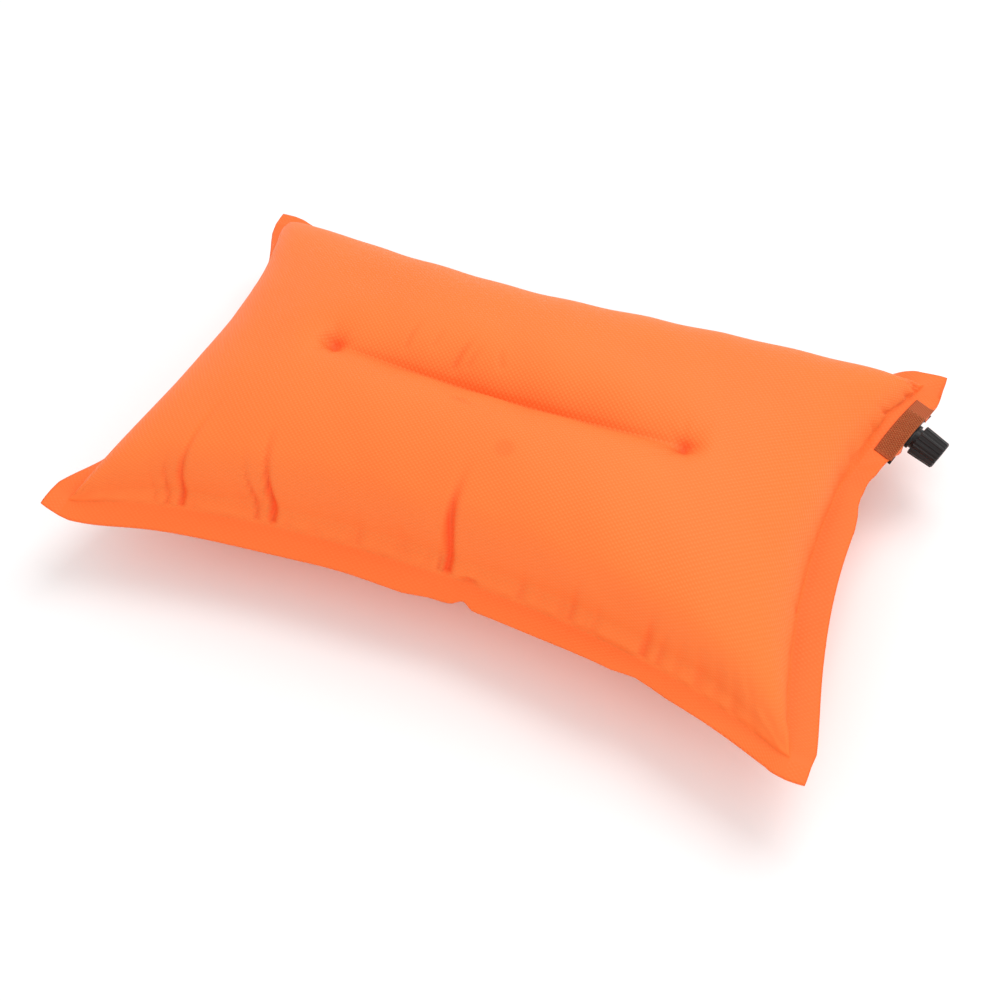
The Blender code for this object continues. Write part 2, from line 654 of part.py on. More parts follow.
fabric = make_material("coated_fabric", (1.0, 0.27, 0.06), 0.55)
foam_finish = make_material("open_cell_foam", (0.90, 0.86, 0.70), 0.95)
film = make_material("tie_film", (0.85, 0.83, 0.78), 0.5)
patch_finish = make_material("patch_tape", (0.48, 0.11, 0.03), 0.7)
soft_black = make_material("weldable_plastic", (0.02, 0.02, 0.02), 0.6)
hard_black = make_material("hard_plastic", (0.015, 0.014, 0.014), 0.4)
rubber = make_material("seal_rubber", (0.03, 0.03, 0.03), 0.75)

pillow = bpy.data.objects.new("pillow_frame", None)
parts.objects.link(pillow)
pillow.location = (-OVERHANG / 2, 0, 0)

valve = bpy.data.objects.new("valve_axis", None)
parts.objects.link(valve)
valve.parent = pillow
valve.location = VALVE_PLACE
valve.rotation_euler = Matrix((ALONG, UPWARD, OUTWARD)).transposed().to_euler()

make_sheet("top_sheet", 1, pillow, fabric)
make_sheet("bottom_sheet", -1, pillow, fabric)
make_foam(pillow, foam_finish)
make_tie_strip(pillow, film)
make_patch("upper_valve_patch", 1, pillow, patch_finish)
make_patch("lower_valve_patch", -1, pillow, patch_finish)
shade_round(make_valve_base(valve, soft_black))
shade_round(make_valve_stem(valve, hard_black))
shade_round(make_o_ring(valve, rubber))
shade_round(make_cap_seal(valve, rubber))
shade_round(make_valve_cap(valve, hard_black))
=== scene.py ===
import math

import bpy
import numpy as np
from mathutils import Matrix, Vector
from mathutils.bvhtree import BVHTree

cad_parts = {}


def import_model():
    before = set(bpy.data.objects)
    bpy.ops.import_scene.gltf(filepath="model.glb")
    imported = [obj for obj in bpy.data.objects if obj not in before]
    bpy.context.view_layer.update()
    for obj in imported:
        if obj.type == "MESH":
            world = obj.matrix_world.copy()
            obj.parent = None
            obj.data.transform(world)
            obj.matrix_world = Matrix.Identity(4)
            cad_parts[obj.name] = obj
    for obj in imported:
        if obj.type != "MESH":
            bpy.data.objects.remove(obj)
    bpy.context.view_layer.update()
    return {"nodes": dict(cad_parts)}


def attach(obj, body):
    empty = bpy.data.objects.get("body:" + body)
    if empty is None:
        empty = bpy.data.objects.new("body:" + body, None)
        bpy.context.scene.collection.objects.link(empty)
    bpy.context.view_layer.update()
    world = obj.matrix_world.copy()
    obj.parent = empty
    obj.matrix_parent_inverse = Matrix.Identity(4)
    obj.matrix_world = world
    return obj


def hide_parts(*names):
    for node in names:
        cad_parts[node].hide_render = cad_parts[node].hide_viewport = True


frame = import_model()

# Looks of the camp pillow. Metres, +Z up, in the CAD's frame. "u" and "v" are shares of the panel between
# the weld lines, -1 to 1. "flat" sizes are measured on the sheet before it was inflated.

# ---- Outline, as in the CAD ----
PILLOW_X = -0.0066862  # middle of the pillow, off the origin by half the valve's overhang
WELD_HEIGHT = 0.050
HALF_LENGTH = 0.225  # to the corner tips
HALF_DEPTH = 0.136
FLANGE = 0.015
TIP_REACH = 0.020
END_SAG, END_SAG_Y, END_POWER = 0.020, 0.008, 2.0
SIDE_SAG, SIDE_SAG_X, SIDE_POWER = 0.028, 0.020, 2.2
CROWN = 0.057
FLOOR_PRESS = 1.25  # over 1: how much of the underside is pressed flat
FLOOR_DROP = 0.0496  # underside below the weld plane
FULL_U, FULL_V, FULL_POWER = 3.0, 2.6, 0.42  # how boxy it is: along x, along y, and of their product
CREASE_X, CREASE_HALF, CREASE_RUN_OUT = 0.011, 0.106, 0.016
CREASE_TOP = (0.008, 0.0185, 0.030, 0.045)  # depth at its ends and in its middle, reach to front and back
CREASE_FLOOR = (0.003, 0.010, 0.030, 0.030)
VALVE_Y = 0.0965
VALVE_ZONE = (0.044, 0.012)  # along the flange: fully as the CAD, then fading
VALVE_ZONE_IN = (0.003, 0.016)  # the same, inwards from the weld line
SEAT_FADE = 0.014  # how far into the panel the valve's seat is felt
SEAT_FROM, SEAT_TO = 0.0012, 0.0135  # past the weld line: where the CAD sheet's height is read
SEAT_TIP, SEAT_TIP_BACK = 0.020, 0.0006  # past the boat's tip it is read a little nearer the valve

# ---- Sheets ----
FLAT_HALF_X = 0.223  # flat size of the panel inside the weld line
FLAT_HALF_Y = 0.1335
CELL = 0.0031  # grid of the simulated sheet
EVEN_HALF_X, EVEN_HALF_Y = 0.190, 0.093  # widths of the profiles along which its lines are evenly spaced
FLANGE_CELLS = 4
FLANGE_HALF_THICKNESS = 0.0005
CORNER_PUSH = 0.0045  # how much narrower the flange is at a corner than along the sides
CORNER_POWER, TIP_POWER = 14, 3  # how soon that and the rounding fade away from a corner
CORNER_ROUND = 0.0005  # how far a corner tip is rounded off
DROOPS = {"left": 24, "right": 4, "front": 26, "back": 26}  # of the flange below level, in degrees
CORNER_DROOP = 6  # the same at the corners
FRONT_DROOP_RIGHT = 6  # the front flange droops less towards the valve end
FRONT_DROOP_FADE = 0.130  # from the pillow's middle to where it droops that little
DROOP_POWERS = (8, 10)  # how close to the corners the ends and the sides droop fully
RIGHT_WIDER = 0.0016  # how much wider the flange shows on the valve end
BOAT_COVER = 0.0009  # how far the flange reaches over the valve's boat
BOAT_COVER_ALONG = (0.0205, 0.004)  # to each side of the valve: fully, then fading
PATCH_GAP = 0.00012  # between a patch and the flange it lies on
PATCH_SHIFTS = (0.0024, 0.0030)  # how much further out than in the CAD the two patches lie
CURVED_UP_TO, STRAIGHT_FROM = 1.6, 2.6  # how uneven the cells may be where the sheet is made finer
SEED = 11
TINY = 1e-6  # for telling the weld line from what lies past it
FLAT_MAP = "flat"  # UV map that holds the flat position in metres
# the fold attribute drives the painted shade down in the folds
STRETCH, FOLD_SHADE = "stretch", "fold"  # attributes: 0 where the sheet is bunched up, and 1 in a deep fold
# painted shade in the folds: how it grows with a fold's depth
FOLD_SHADE_POWER = 1.5
FOLD_SHADE_DEPTH = 0.0028  # a fold this deep gets the full painted shade
# Where the flange's edge is drawn in: axis it is drawn along, side, places along the edge, how far at each
OUTLINE = (
    (1, -1, (-0.005, 0.010, 0.100, 0.118, 0.131, 0.140, 0.150, 0.165, 0.192, 0.205, 0.216),
     (0.0, 0.0022, 0.0022, 0.0030, 0.0060, 0.0056, 0.0044, 0.0038, 0.0034, 0.0026, 0.0)),
    (0, -1, (0.030, 0.048, 0.064, 0.078, 0.088, 0.096, 0.104, 0.112, 0.126),
     (0.0, 0.0012, 0.0024, 0.0032, 0.0048, 0.0044, 0.0030, 0.0014, 0.0)),
    (0, 1, (0.014, 0.022, 0.030, 0.037, 0.045, 0.050, 0.053, 0.058, 0.066, 0.072, 0.112, 0.122),
     (0.0, 0.0012, 0.0034, 0.0044, 0.0044, 0.0030, 0.0016, 0.0016, 0.0014, 0.0, 0.0, -0.0012)),
    (1, 1, (0.185, 0.198, 0.212, 0.222), (0.0, 0.0012, 0.0012, 0.0)),
)
FRONT_LEFT_CURL, FRONT_LEFT_SAG = 0.0075, 0.0020  # the end flange there lifts, and the weld corner sags
LIFTED_UP_TO, LIFT_FADE = -0.122, 0.040  # along y
SAG_RADIUS = 0.022
TIPS = (  # sides of a corner, then how far its tip is drawn out in x and y, and up
    (-1, -1, 0.0015, 0.0, 0.0),
    (1, -1, 0.0012, 0.0, 0.0),
    (-1, 1, 0.0022, 0.0026, 0.0010),
    (1, 1, 0.0014, 0.0, 0.0),
)
BACK_SHOULDER = (  # places along x, and how far the top sheet swells there, in millimetres
    (-0.22, -0.10, 0.0, 0.06, 0.10, 0.14, 0.18, 0.22),
    (4.6, 5.4, 6.8, 8.6, 8.2, 6.6, 5.0, 4.4),
)
BACK_SHOULDER_DEEP = (0.030, 0.060)  # from the weld line: fully swollen, then fading over this length
LEFT_SHOULDER, LEFT_SHOULDER_DEEP = 0.0020, (0.025, 0.050)
SHOULDER_POWER = 8  # how close to the corners they go
FRONT_EASE, FRONT_EASE_DOWN = 0.0060, 0.0030  # how far the front wall leans back and drops
FRONT_EASE_DEEP = (0.014, 0.040)  # from the weld line: as BACK_SHOULDER_DEEP
FRONT_EASE_X = (0.150, 0.060)  # to each side of the middle: fully, then fading
NOTCH_X, NOTCH_HALF_WIDTH = 0.0285, 0.0042  # on the flat sheet
NOTCH_IN, NOTCH_UP, NOTCH_FADE = 0.0030, 0.0016, 0.006


# ---- Shape of the inflated casing ----
def smooth_fade(value, full, length):
    share = np.clip((value - full) / length, 0, 1)
    return 1 - share * share * (3 - 2 * share)


def side_pull(along, half_side, sag, deepest, power):
    offset = along - deepest
    reach = half_side - TIP_REACH - np.copysign(deepest, deepest * offset)
    return sag * (1 - np.minimum(np.abs(offset) / reach, 1) ** power)


def weld_x(y):
    return HALF_LENGTH - FLANGE - side_pull(y, HALF_DEPTH, END_SAG, END_SAG_Y, END_POWER)


def weld_y(x):
    return HALF_DEPTH - FLANGE - side_pull(x, HALF_LENGTH, SIDE_SAG, SIDE_SAG_X, SIDE_POWER)


def crease_depth(x, y, at_end, in_middle, front_reach, back_reach):
    share = np.abs(x - CREASE_X) / CREASE_HALF
    depth = at_end + (in_middle - at_end) * np.maximum(0, 1 - share**2)
    depth = depth * smooth_fade(np.abs(x - CREASE_X), CREASE_HALF, CREASE_RUN_OUT)
    reach = np.where(y < 0, front_reach, back_reach)
    return depth * np.maximum(0, 1 - np.abs(y) / reach) ** 3


def spread(count, half_width, power):
    """Shares -1 to 1 whose points lie evenly along the inflated profile, not along the floor."""
    fine = np.sin(np.linspace(0, math.pi / 2, 4001))
    rise = CROWN * (1 - fine**power) ** FULL_POWER
    arc = np.concatenate([[0], np.cumsum(np.hypot(np.diff(fine * half_width), np.diff(rise)))])
    even = np.linspace(-1, 1, count + 1)
    return np.sign(even) * np.interp(np.abs(even) * arc[-1], arc, fine)


def even_count(length):
    return 2 * round(length / CELL)


COLUMNS = even_count(FLAT_HALF_X)
ROWS = even_count(FLAT_HALF_Y)


def grid_shares():
    """Where the panel's columns and rows lie, as shares -1 to 1."""
    return spread(COLUMNS, EVEN_HALF_X, FULL_U), spread(ROWS, EVEN_HALF_Y, FULL_V)


def panel(side):
    """Start shape of one sheet inside the weld lines, as an array of points."""
    u, v = np.meshgrid(*grid_shares(), indexing="ij")
    corner = CORNER_PUSH * np.abs(u * v) ** CORNER_POWER
    x = u * weld_x(v * (HALF_DEPTH - FLANGE)) + np.sign(u) * corner
    y = v * weld_y(u * (HALF_LENGTH - FLANGE)) + np.sign(v) * corner
    full = ((1 - np.abs(u) ** FULL_U) * (1 - np.abs(v) ** FULL_V)) ** FULL_POWER
    if side > 0:
        z = full * (CROWN - crease_depth(x, y, *CREASE_TOP))
    else:
        z = -np.minimum(full * FLOOR_PRESS, 1) * (FLOOR_DROP - crease_depth(x, y, *CREASE_FLOOR))
    return np.stack([x, y, z], -1)


def with_flange(points):
    """The panel's points with the flange's grid lines round them."""
    edge = FLANGE_CELLS
    i = np.arange(-edge, COLUMNS + edge + 1)
    j = np.arange(-edge, ROWS + edge + 1)
    inner_i, inner_j = np.clip(i, 0, COLUMNS), np.clip(j, 0, ROWS)
    made = points[np.ix_(inner_i, inner_j)].copy()
    share_x = np.broadcast_to(((i - inner_i) / edge)[:, None], made.shape[:2])
    share_y = np.broadcast_to(((j - inner_j) / edge)[None, :], made.shape[:2])
    u, v = grid_shares()
    narrower = CORNER_PUSH * np.outer(np.abs(u)[inner_i], np.abs(v)[inner_j]) ** CORNER_POWER
    made[..., 0] += share_x * (FLANGE - narrower)
    made[..., 1] += share_y * (FLANGE - narrower)
    tip = np.abs(share_x * share_y) ** TIP_POWER
    made[..., 0] -= np.sign(share_x) * tip * CORNER_ROUND
    made[..., 1] -= np.sign(share_y) * tip * CORNER_ROUND
    return made


def flat_panel():
    x, y = np.meshgrid(
        np.linspace(-FLAT_HALF_X, FLAT_HALF_X, COLUMNS + 1),
        np.linspace(-FLAT_HALF_Y, FLAT_HALF_Y, ROWS + 1),
        indexing="ij",
    )
    return np.stack([x, y, 0 * x], -1)


def inner(grid):
    edge = FLANGE_CELLS
    return grid[edge:-edge, edge:-edge]


CLOTH_SETTINGS = dict(
    quality=6, mass=0.3,
    tension_stiffness=40, compression_stiffness=5, shear_stiffness=5, bending_stiffness=0.02,
    tension_damping=1, compression_damping=1, shear_damping=1, bending_damping=0.5,
    use_pressure=True, uniform_pressure_force=20,
)
CLOTH_FRAMES = 24
GROUND_HOLD, GROUND_MARGIN = 0.3, 0.0004  # how firmly the ground holds what lies this close to it


def quads(index, flip):
    """Faces between the neighbours in a grid of vertex numbers."""
    corners = [index[:-1, :-1], index[1:, :-1], index[1:, 1:], index[:-1, 1:]]
    return np.stack(corners[::-1] if flip else corners, -1).reshape(-1, 4)


def run_cloth(cloth, rest_key, pins, inflated):
    """Runs the cloth simulation on an object, and returns its vertices' new places."""
    modifier = cloth.modifiers.new("cloth", "CLOTH")
    settings = modifier.settings
    for name, value in CLOTH_SETTINGS.items():
        setattr(settings, name, value)
    settings.vertex_group_pressure = inflated.name
    settings.vertex_group_mass = pins.name
    settings.rest_shape_key = rest_key
    settings.effector_weights.gravity = 0
    modifier.collision_settings.use_collision = False
    modifier.point_cache.frame_start, modifier.point_cache.frame_end = 1, CLOTH_FRAMES
    for number in range(1, CLOTH_FRAMES + 1):
        bpy.context.scene.frame_set(number)
    done = cloth.evaluated_get(bpy.context.evaluated_depsgraph_get())
    places = np.empty(len(cloth.data.vertices) * 3)
    done.data.vertices.foreach_get("co", places)
    return places.reshape(-1, 3)


def simulate(top, bottom, flat):
    """Inflates the two sheets from their flat cut with Blender's cloth, held at the flange, the crease and
    where the pillow rests on the ground. The flange is one layer here. Returns the new places."""
    upper = np.arange(top.shape[0] * top.shape[1]).reshape(top.shape[:2])
    border = np.ones(inner(upper).shape, bool)
    border[1:-1, 1:-1] = False
    lower = np.where(border, inner(upper), 0)
    lower[~border] = upper.size + np.arange(np.count_nonzero(~border))
    start = np.concatenate([top.reshape(-1, 3), inner(bottom)[~border]])
    rest = np.concatenate([flat.reshape(-1, 3), inner(flat)[~border]])

    mesh = bpy.data.meshes.new("cloth")
    faces = np.concatenate([quads(upper, False), quads(lower, True)])
    mesh.from_pydata(start.tolist(), [], faces.tolist())
    cloth = bpy.data.objects.new("cloth", mesh)
    bpy.context.scene.collection.objects.link(cloth)
    cloth.shape_key_add(name="Basis")
    flat_key = cloth.shape_key_add(name="flat")
    flat_key.data.foreach_set("co", rest.ravel())

    held = np.zeros(len(start))
    panel_only = np.zeros(upper.shape, bool)
    panel_only[FLANGE_CELLS + 1:-FLANGE_CELLS - 1, FLANGE_CELLS + 1:-FLANGE_CELLS - 1] = True
    held[upper[~panel_only]] = 1
    on_crease = np.abs(inner(top)[:, ROWS // 2, 0] - CREASE_X) <= CREASE_HALF
    held[inner(upper)[on_crease, ROWS // 2]] = 1
    held[lower[on_crease, ROWS // 2]] = 1
    on_ground = (inner(bottom)[..., 2] < GROUND_MARGIN - FLOOR_DROP) & ~border
    held[lower[on_ground]] = np.maximum(held[lower[on_ground]], GROUND_HOLD)
    pins = cloth.vertex_groups.new(name="held")
    for weight in np.unique(held[held > 0]):
        pins.add(np.flatnonzero(held == weight).tolist(), float(weight), "REPLACE")
    inflated = cloth.vertex_groups.new(name="inflated")
    is_flange = np.zeros(len(start), bool)
    is_flange[upper[~panel_only]] = True
    inflated.add(np.flatnonzero(~is_flange).tolist(), 1.0, "REPLACE")

    places = run_cloth(cloth, flat_key, pins, inflated)
    bpy.data.objects.remove(cloth, do_unlink=True)
    bpy.context.scene.frame_set(1)
    new_top, new_bottom = places[upper], places[upper].copy()
    inner(new_bottom)[:] = places[lower]
    return new_top, new_bottom


def halved(values):
    """The grid with one more line between each pair, on a smooth curve through them, along its first axis.
    Where a cell is much shorter than the next one, the new line is halfway instead."""
    ends = np.concatenate([2 * values[:1] - values[1:2], values, 2 * values[-1:] - values[-2:-1]])
    made = np.empty((2 * len(values) - 1, *values.shape[1:]))
    made[::2] = values
    middles = (values[:-1] + values[1:]) / 2
    curved = (9 * (ends[1:-2] + ends[2:-1]) - ends[:-3] - ends[3:]) / 16  # the cubic's midpoint
    steps = np.maximum(np.linalg.norm(np.diff(ends, axis=0), axis=-1), 1e-9)
    ratio = np.maximum(steps[:-2], steps[2:]) / steps[1:-1]
    share = 1 - np.clip((ratio - CURVED_UP_TO) / (STRAIGHT_FROM - CURVED_UP_TO), 0, 1)
    made[1::2] = middles + share[..., None] * (curved - middles)
    return made


def finer(grid):
    return np.swapaxes(halved(np.swapaxes(halved(grid), 0, 1)), 0, 1)


def normals(grid):
    across = np.cross(np.gradient(grid, axis=0), np.gradient(grid, axis=1))
    return across / np.maximum(np.linalg.norm(across, axis=-1, keepdims=True), 1e-12)


# ---- Folds, gathers and marks ----
FOLD_SHARPNESS, FOLD_RIDGE = 1.7, 0.30  # of a fold's steep side, and the ridge's height as a share
RIDGE_PLACE, RIDGE_WIDTH = 1.0, 0.55  # in widths of the fold


def fold(flat, start, end, width, depth, blunt=0.25, bend=0.0):
    """A valley of this depth between two flat points, soft on one side and sharp on the other, where a low
    ridge stands. It fades at both ends, more slowly at its far one, and bend bows its middle sideways."""
    start, end = np.array(start), np.array(end)
    length = np.linalg.norm(end - start)
    ahead = (end - start) / length
    offset = flat[..., :2] - start
    along = offset @ ahead / length
    bow = bend * 4 * np.clip(along, 0, 1) * (1 - np.clip(along, 0, 1))
    aside = (offset @ np.array([-ahead[1], ahead[0]]) - bow) / width
    run = smooth_fade(-along, 0, blunt) * smooth_fade(along, blunt, 1 - blunt)
    valley = np.where(aside < 0, np.exp(-0.5 * aside**2), np.exp(-0.5 * (FOLD_SHARPNESS * aside) ** 2))
    ridge = np.exp(-(((aside - RIDGE_PLACE) / RIDGE_WIDTH) ** 2))
    return -depth * run * (valley - FOLD_RIDGE * ridge)


def dimple(flat, middle, radius, depth):
    distance = np.linalg.norm(flat[..., :2] - np.array(middle), axis=-1)
    return -depth * np.exp(-((distance / radius) ** 2))


GATHER_SPACING, GATHER_SHIFT = 0.0125, 0.005  # along the weld line, and how far each may be off its place
GATHER_FROM_CORNER, GATHER_PAST_WELD = 0.018, 0.004
GATHER_LENGTHS, GATHER_WIDTHS = (0.010, 0.036), (0.0022, 0.0042)
GATHER_LEAN, GATHER_SPLAY = 0.16, 0.12  # at random, and towards the pillow's middle
GATHER_HEIGHT, BACK_GATHER_HEIGHT = 0.001, 0.0003
CORNER_FOLD_ANGLE, CORNER_FOLD_TURNS = math.radians(38), (-0.35, -0.05, 0.3)
CORNER_FOLD_INSET, CORNER_FOLD_SWING = 0.004, 0.08
CORNER_FOLD_LENGTHS, CORNER_FOLD_WIDTHS = (0.034, 0.060), (0.0035, 0.0055)
GATHER_DEPTHS, CORNER_FOLD_DEPTHS = (0.15, 0.75), (0.5, 1.0)  # as shares of the height above


def border_gathers(flat, draw):
    """Small folds that run in from the weld line, all round."""
    total = np.zeros(flat.shape[:2])
    for half, other, axis in ((FLAT_HALF_X, FLAT_HALF_Y, 0), (FLAT_HALF_Y, FLAT_HALF_X, 1)):
        for end in (-1, 1):
            height = BACK_GATHER_HEIGHT if axis == 0 and end > 0 else GATHER_HEIGHT
            for place in np.arange(-half + GATHER_FROM_CORNER, half - GATHER_FROM_CORNER, GATHER_SPACING):
                place += draw.uniform(-GATHER_SHIFT, GATHER_SHIFT)
                length = draw.uniform(*GATHER_LENGTHS)
                lean = draw.uniform(-GATHER_LEAN, GATHER_LEAN) * length - GATHER_SPLAY * length * place / half
                start, stop = [0, 0], [0, 0]
                start[axis], start[1 - axis] = place, end * (other + GATHER_PAST_WELD)
                stop[axis], stop[1 - axis] = place + lean, end * (other - length)
                width = draw.uniform(*GATHER_WIDTHS)
                total += fold(flat, start, stop, width, draw.uniform(*GATHER_DEPTHS) * height)
    return total


def corner_folds(flat, draw):
    """Three folds that fan out of each corner."""
    total = np.zeros(flat.shape[:2])
    inset = CORNER_FOLD_INSET
    for sx in (-1, 1):
        for sy in (-1, 1):
            start = np.array([sx * (FLAT_HALF_X - inset), sy * (FLAT_HALF_Y - inset)])
            for turn in CORNER_FOLD_TURNS:
                angle = CORNER_FOLD_ANGLE + turn + draw.uniform(-CORNER_FOLD_SWING, CORNER_FOLD_SWING)
                length = draw.uniform(*CORNER_FOLD_LENGTHS)
                stop = start - length * np.array([sx * math.cos(angle), sy * math.sin(angle)])
                width = draw.uniform(*CORNER_FOLD_WIDTHS)
                depth = draw.uniform(*CORNER_FOLD_DEPTHS) * GATHER_HEIGHT
                total += fold(flat, start, stop, width, depth)
    return total


def slow_waves(flat, draw, height, shortest, longest, count=9):
    """Low waves that run in all directions, of lengths between the shortest and the longest."""
    total = np.zeros(flat.shape[:2])
    for _ in range(count):
        angle, phase = draw.uniform(0, math.pi), draw.uniform(0, 2 * math.pi)
        turns = 2 * math.pi / draw.uniform(shortest, longest)
        total += np.sin(turns * (flat[..., 0] * math.cos(angle) + flat[..., 1] * math.sin(angle)) + phase)
    return total * height / math.sqrt(count)


# Folds that stand out, on the flat sheet.
FRONT_EDGE = -FLAT_HALF_Y - 0.002
FRONT_FOLDS = (  # from x on the front edge, to x, y; width, depth, bend
    (0.0150, 0.0190, -0.0500, 0.0022, 0.0040, 0.0016),
    (0.0100, 0.0145, -0.0460, 0.0018, 0.0018, -0.0012),
    (-0.0850, -0.0985, -0.0560, 0.0019, 0.0034, -0.0022),
    (-0.0930, -0.1090, -0.0700, 0.0014, 0.0016, -0.0010),
    (-0.1380, -0.1360, -0.0450, 0.0017, 0.0026, 0.0030),
    (-0.1460, -0.1510, -0.0800, 0.0014, 0.0015, 0.0012),
    (-0.1530, -0.1600, -0.0880, 0.0013, 0.0009, 0.0008),
    (-0.0350, -0.0370, -0.0980, 0.0022, 0.0008, 0.0),
    (0.0560, 0.0590, -0.0980, 0.0018, 0.0008, 0.0010),
    (0.0830, 0.0900, -0.0860, 0.0018, 0.0012, 0.0014),
    (0.0960, 0.1010, -0.0960, 0.0017, 0.0010, 0.0010),
    (0.1230, 0.1290, -0.0860, 0.0021, 0.0016, 0.0016),
    (0.1310, 0.1350, -0.0940, 0.0016, 0.0010, 0.0008),
    (0.1410, 0.1430, -0.0900, 0.0021, 0.0007, 0.0008),
    (0.1520, 0.1520, -0.0860, 0.0021, 0.0007, 0.0006),
    (0.1630, 0.1600, -0.0840, 0.0021, 0.0007, 0.0),
    (0.1740, 0.1680, -0.0820, 0.0021, 0.0007, 0.0),
    (0.1860, 0.1760, -0.0800, 0.0021, 0.0007, 0.0),
)
VALVE_FOLDS = (  # from x, y, to x, y; width, depth, bend
    ((0.2215, 0.1150), (0.1960, 0.1060), 0.0018, 0.0020, 0.0010),
    ((0.2215, 0.1070), (0.1980, 0.1010), 0.0015, 0.0016, -0.0010),
    ((0.2215, 0.0980), (0.2010, 0.0950), 0.0016, 0.0014, 0.0006),
    ((0.2215, 0.0800), (0.1970, 0.0740), 0.0020, 0.0016, 0.0008),
    ((0.2215, 0.0660), (0.2000, 0.0640), 0.0018, 0.0010, 0.0),
)
CREASE_FOLDS = (  # as VALVE_FOLDS
    ((-0.0560, 0.0120), (-0.0530, 0.0330), 0.0016, 0.0010, 0.0006),
    ((-0.0400, 0.0160), (-0.0380, 0.0300), 0.0016, 0.0006, 0.0),
    ((-0.0230, 0.0100), (-0.0160, 0.0330), 0.0016, 0.0013, 0.0008),
    ((-0.0150, 0.0120), (-0.0090, 0.0280), 0.0016, 0.0009, 0.0006),
    ((0.0040, 0.0150), (-0.0010, 0.0280), 0.0016, 0.0009, 0.0004),
    ((-0.0080, -0.0180), (0.0100, -0.0215), 0.0016, 0.0009, 0.0),
)
END_DIMPLE_PAST, END_DIMPLE = 0.003, (0.006, 0.0016)  # past each end of the crease: radius, depth
DIMPLE_TURNS = (-150, -115, -60, -20, 25, 62, 110, 150)  # folds round each end of the crease, in degrees
DIMPLE_FOLD = (0.0017, 0.0005)  # width, depth
DIMPLE_FOLD_START, DIMPLE_FOLD_LENGTHS = 0.002, (0.012, 0.022)  # from the dimple's middle
ROUND_MARK = (0.0330, -0.0440, 0.0055)  # a faint round mark: x, y, radius
ROUND_MARK_DEPTH = 0.0003
TOP_WAVES = (0.00022, 0.030, 0.080)  # height, shortest, longest
BOTTOM_WAVES = (0.0003, 0.025, 0.060)
FLANGE_WAVES = (0.0010, 0.030, 0.090)
BUNCHED = (0.20, 0.45)  # share of its flat size where it is bunched up, and the fade above it


def top_details(flat, draw):
    total = border_gathers(flat, draw) + corner_folds(flat, draw)
    total += slow_waves(flat, draw, *TOP_WAVES)
    from_front = tuple(((x, FRONT_EDGE), (to_x, to_y), *shape) for x, to_x, to_y, *shape in FRONT_FOLDS)
    for start, end, width, depth, bend in from_front + VALVE_FOLDS + CREASE_FOLDS:
        total += fold(flat, start, end, width, depth, bend=bend)
    for end in (-1, 1):
        middle = np.array([CREASE_X + end * (CREASE_HALF + END_DIMPLE_PAST), 0])
        total += dimple(flat, middle, *END_DIMPLE)
        for turn in DIMPLE_TURNS:
            angle = math.radians(turn)
            ahead = np.array([end * math.cos(angle), math.sin(angle)])
            stop = middle + ahead * draw.uniform(*DIMPLE_FOLD_LENGTHS)
            total += fold(flat, middle + ahead * DIMPLE_FOLD_START, stop, *DIMPLE_FOLD)
    return total + dimple(flat, ROUND_MARK[:2], ROUND_MARK[2], ROUND_MARK_DEPTH)


def bottom_details(flat, draw):
    total = border_gathers(flat, draw) + corner_folds(flat, draw)
    return total + slow_waves(flat, draw, *BOTTOM_WAVES)


def inside(flat):
    """Distance inwards from the weld line on the flat sheet, negative on the flange."""
    return np.minimum(FLAT_HALF_X - np.abs(flat[..., 0]), FLAT_HALF_Y - np.abs(flat[..., 1]))


def spacing(grid, axis):
    return np.linalg.norm(np.gradient(grid, axis=axis), axis=-1)


def stretched(grid, flat):
    """0 where the sheet is bunched up, as in the corners, and 1 where it keeps its flat size."""
    ratios = [spacing(grid, axis) / spacing(flat, axis) for axis in (0, 1)]
    return 1 - smooth_fade(np.minimum(*ratios), *BUNCHED)


def held_in(grid, edge):
    """Numbers of the grid's lines, each brought in to at least this many from the grid's edge."""
    return (np.clip(np.arange(count), edge, count - 1 - edge) for count in grid.shape[:2])


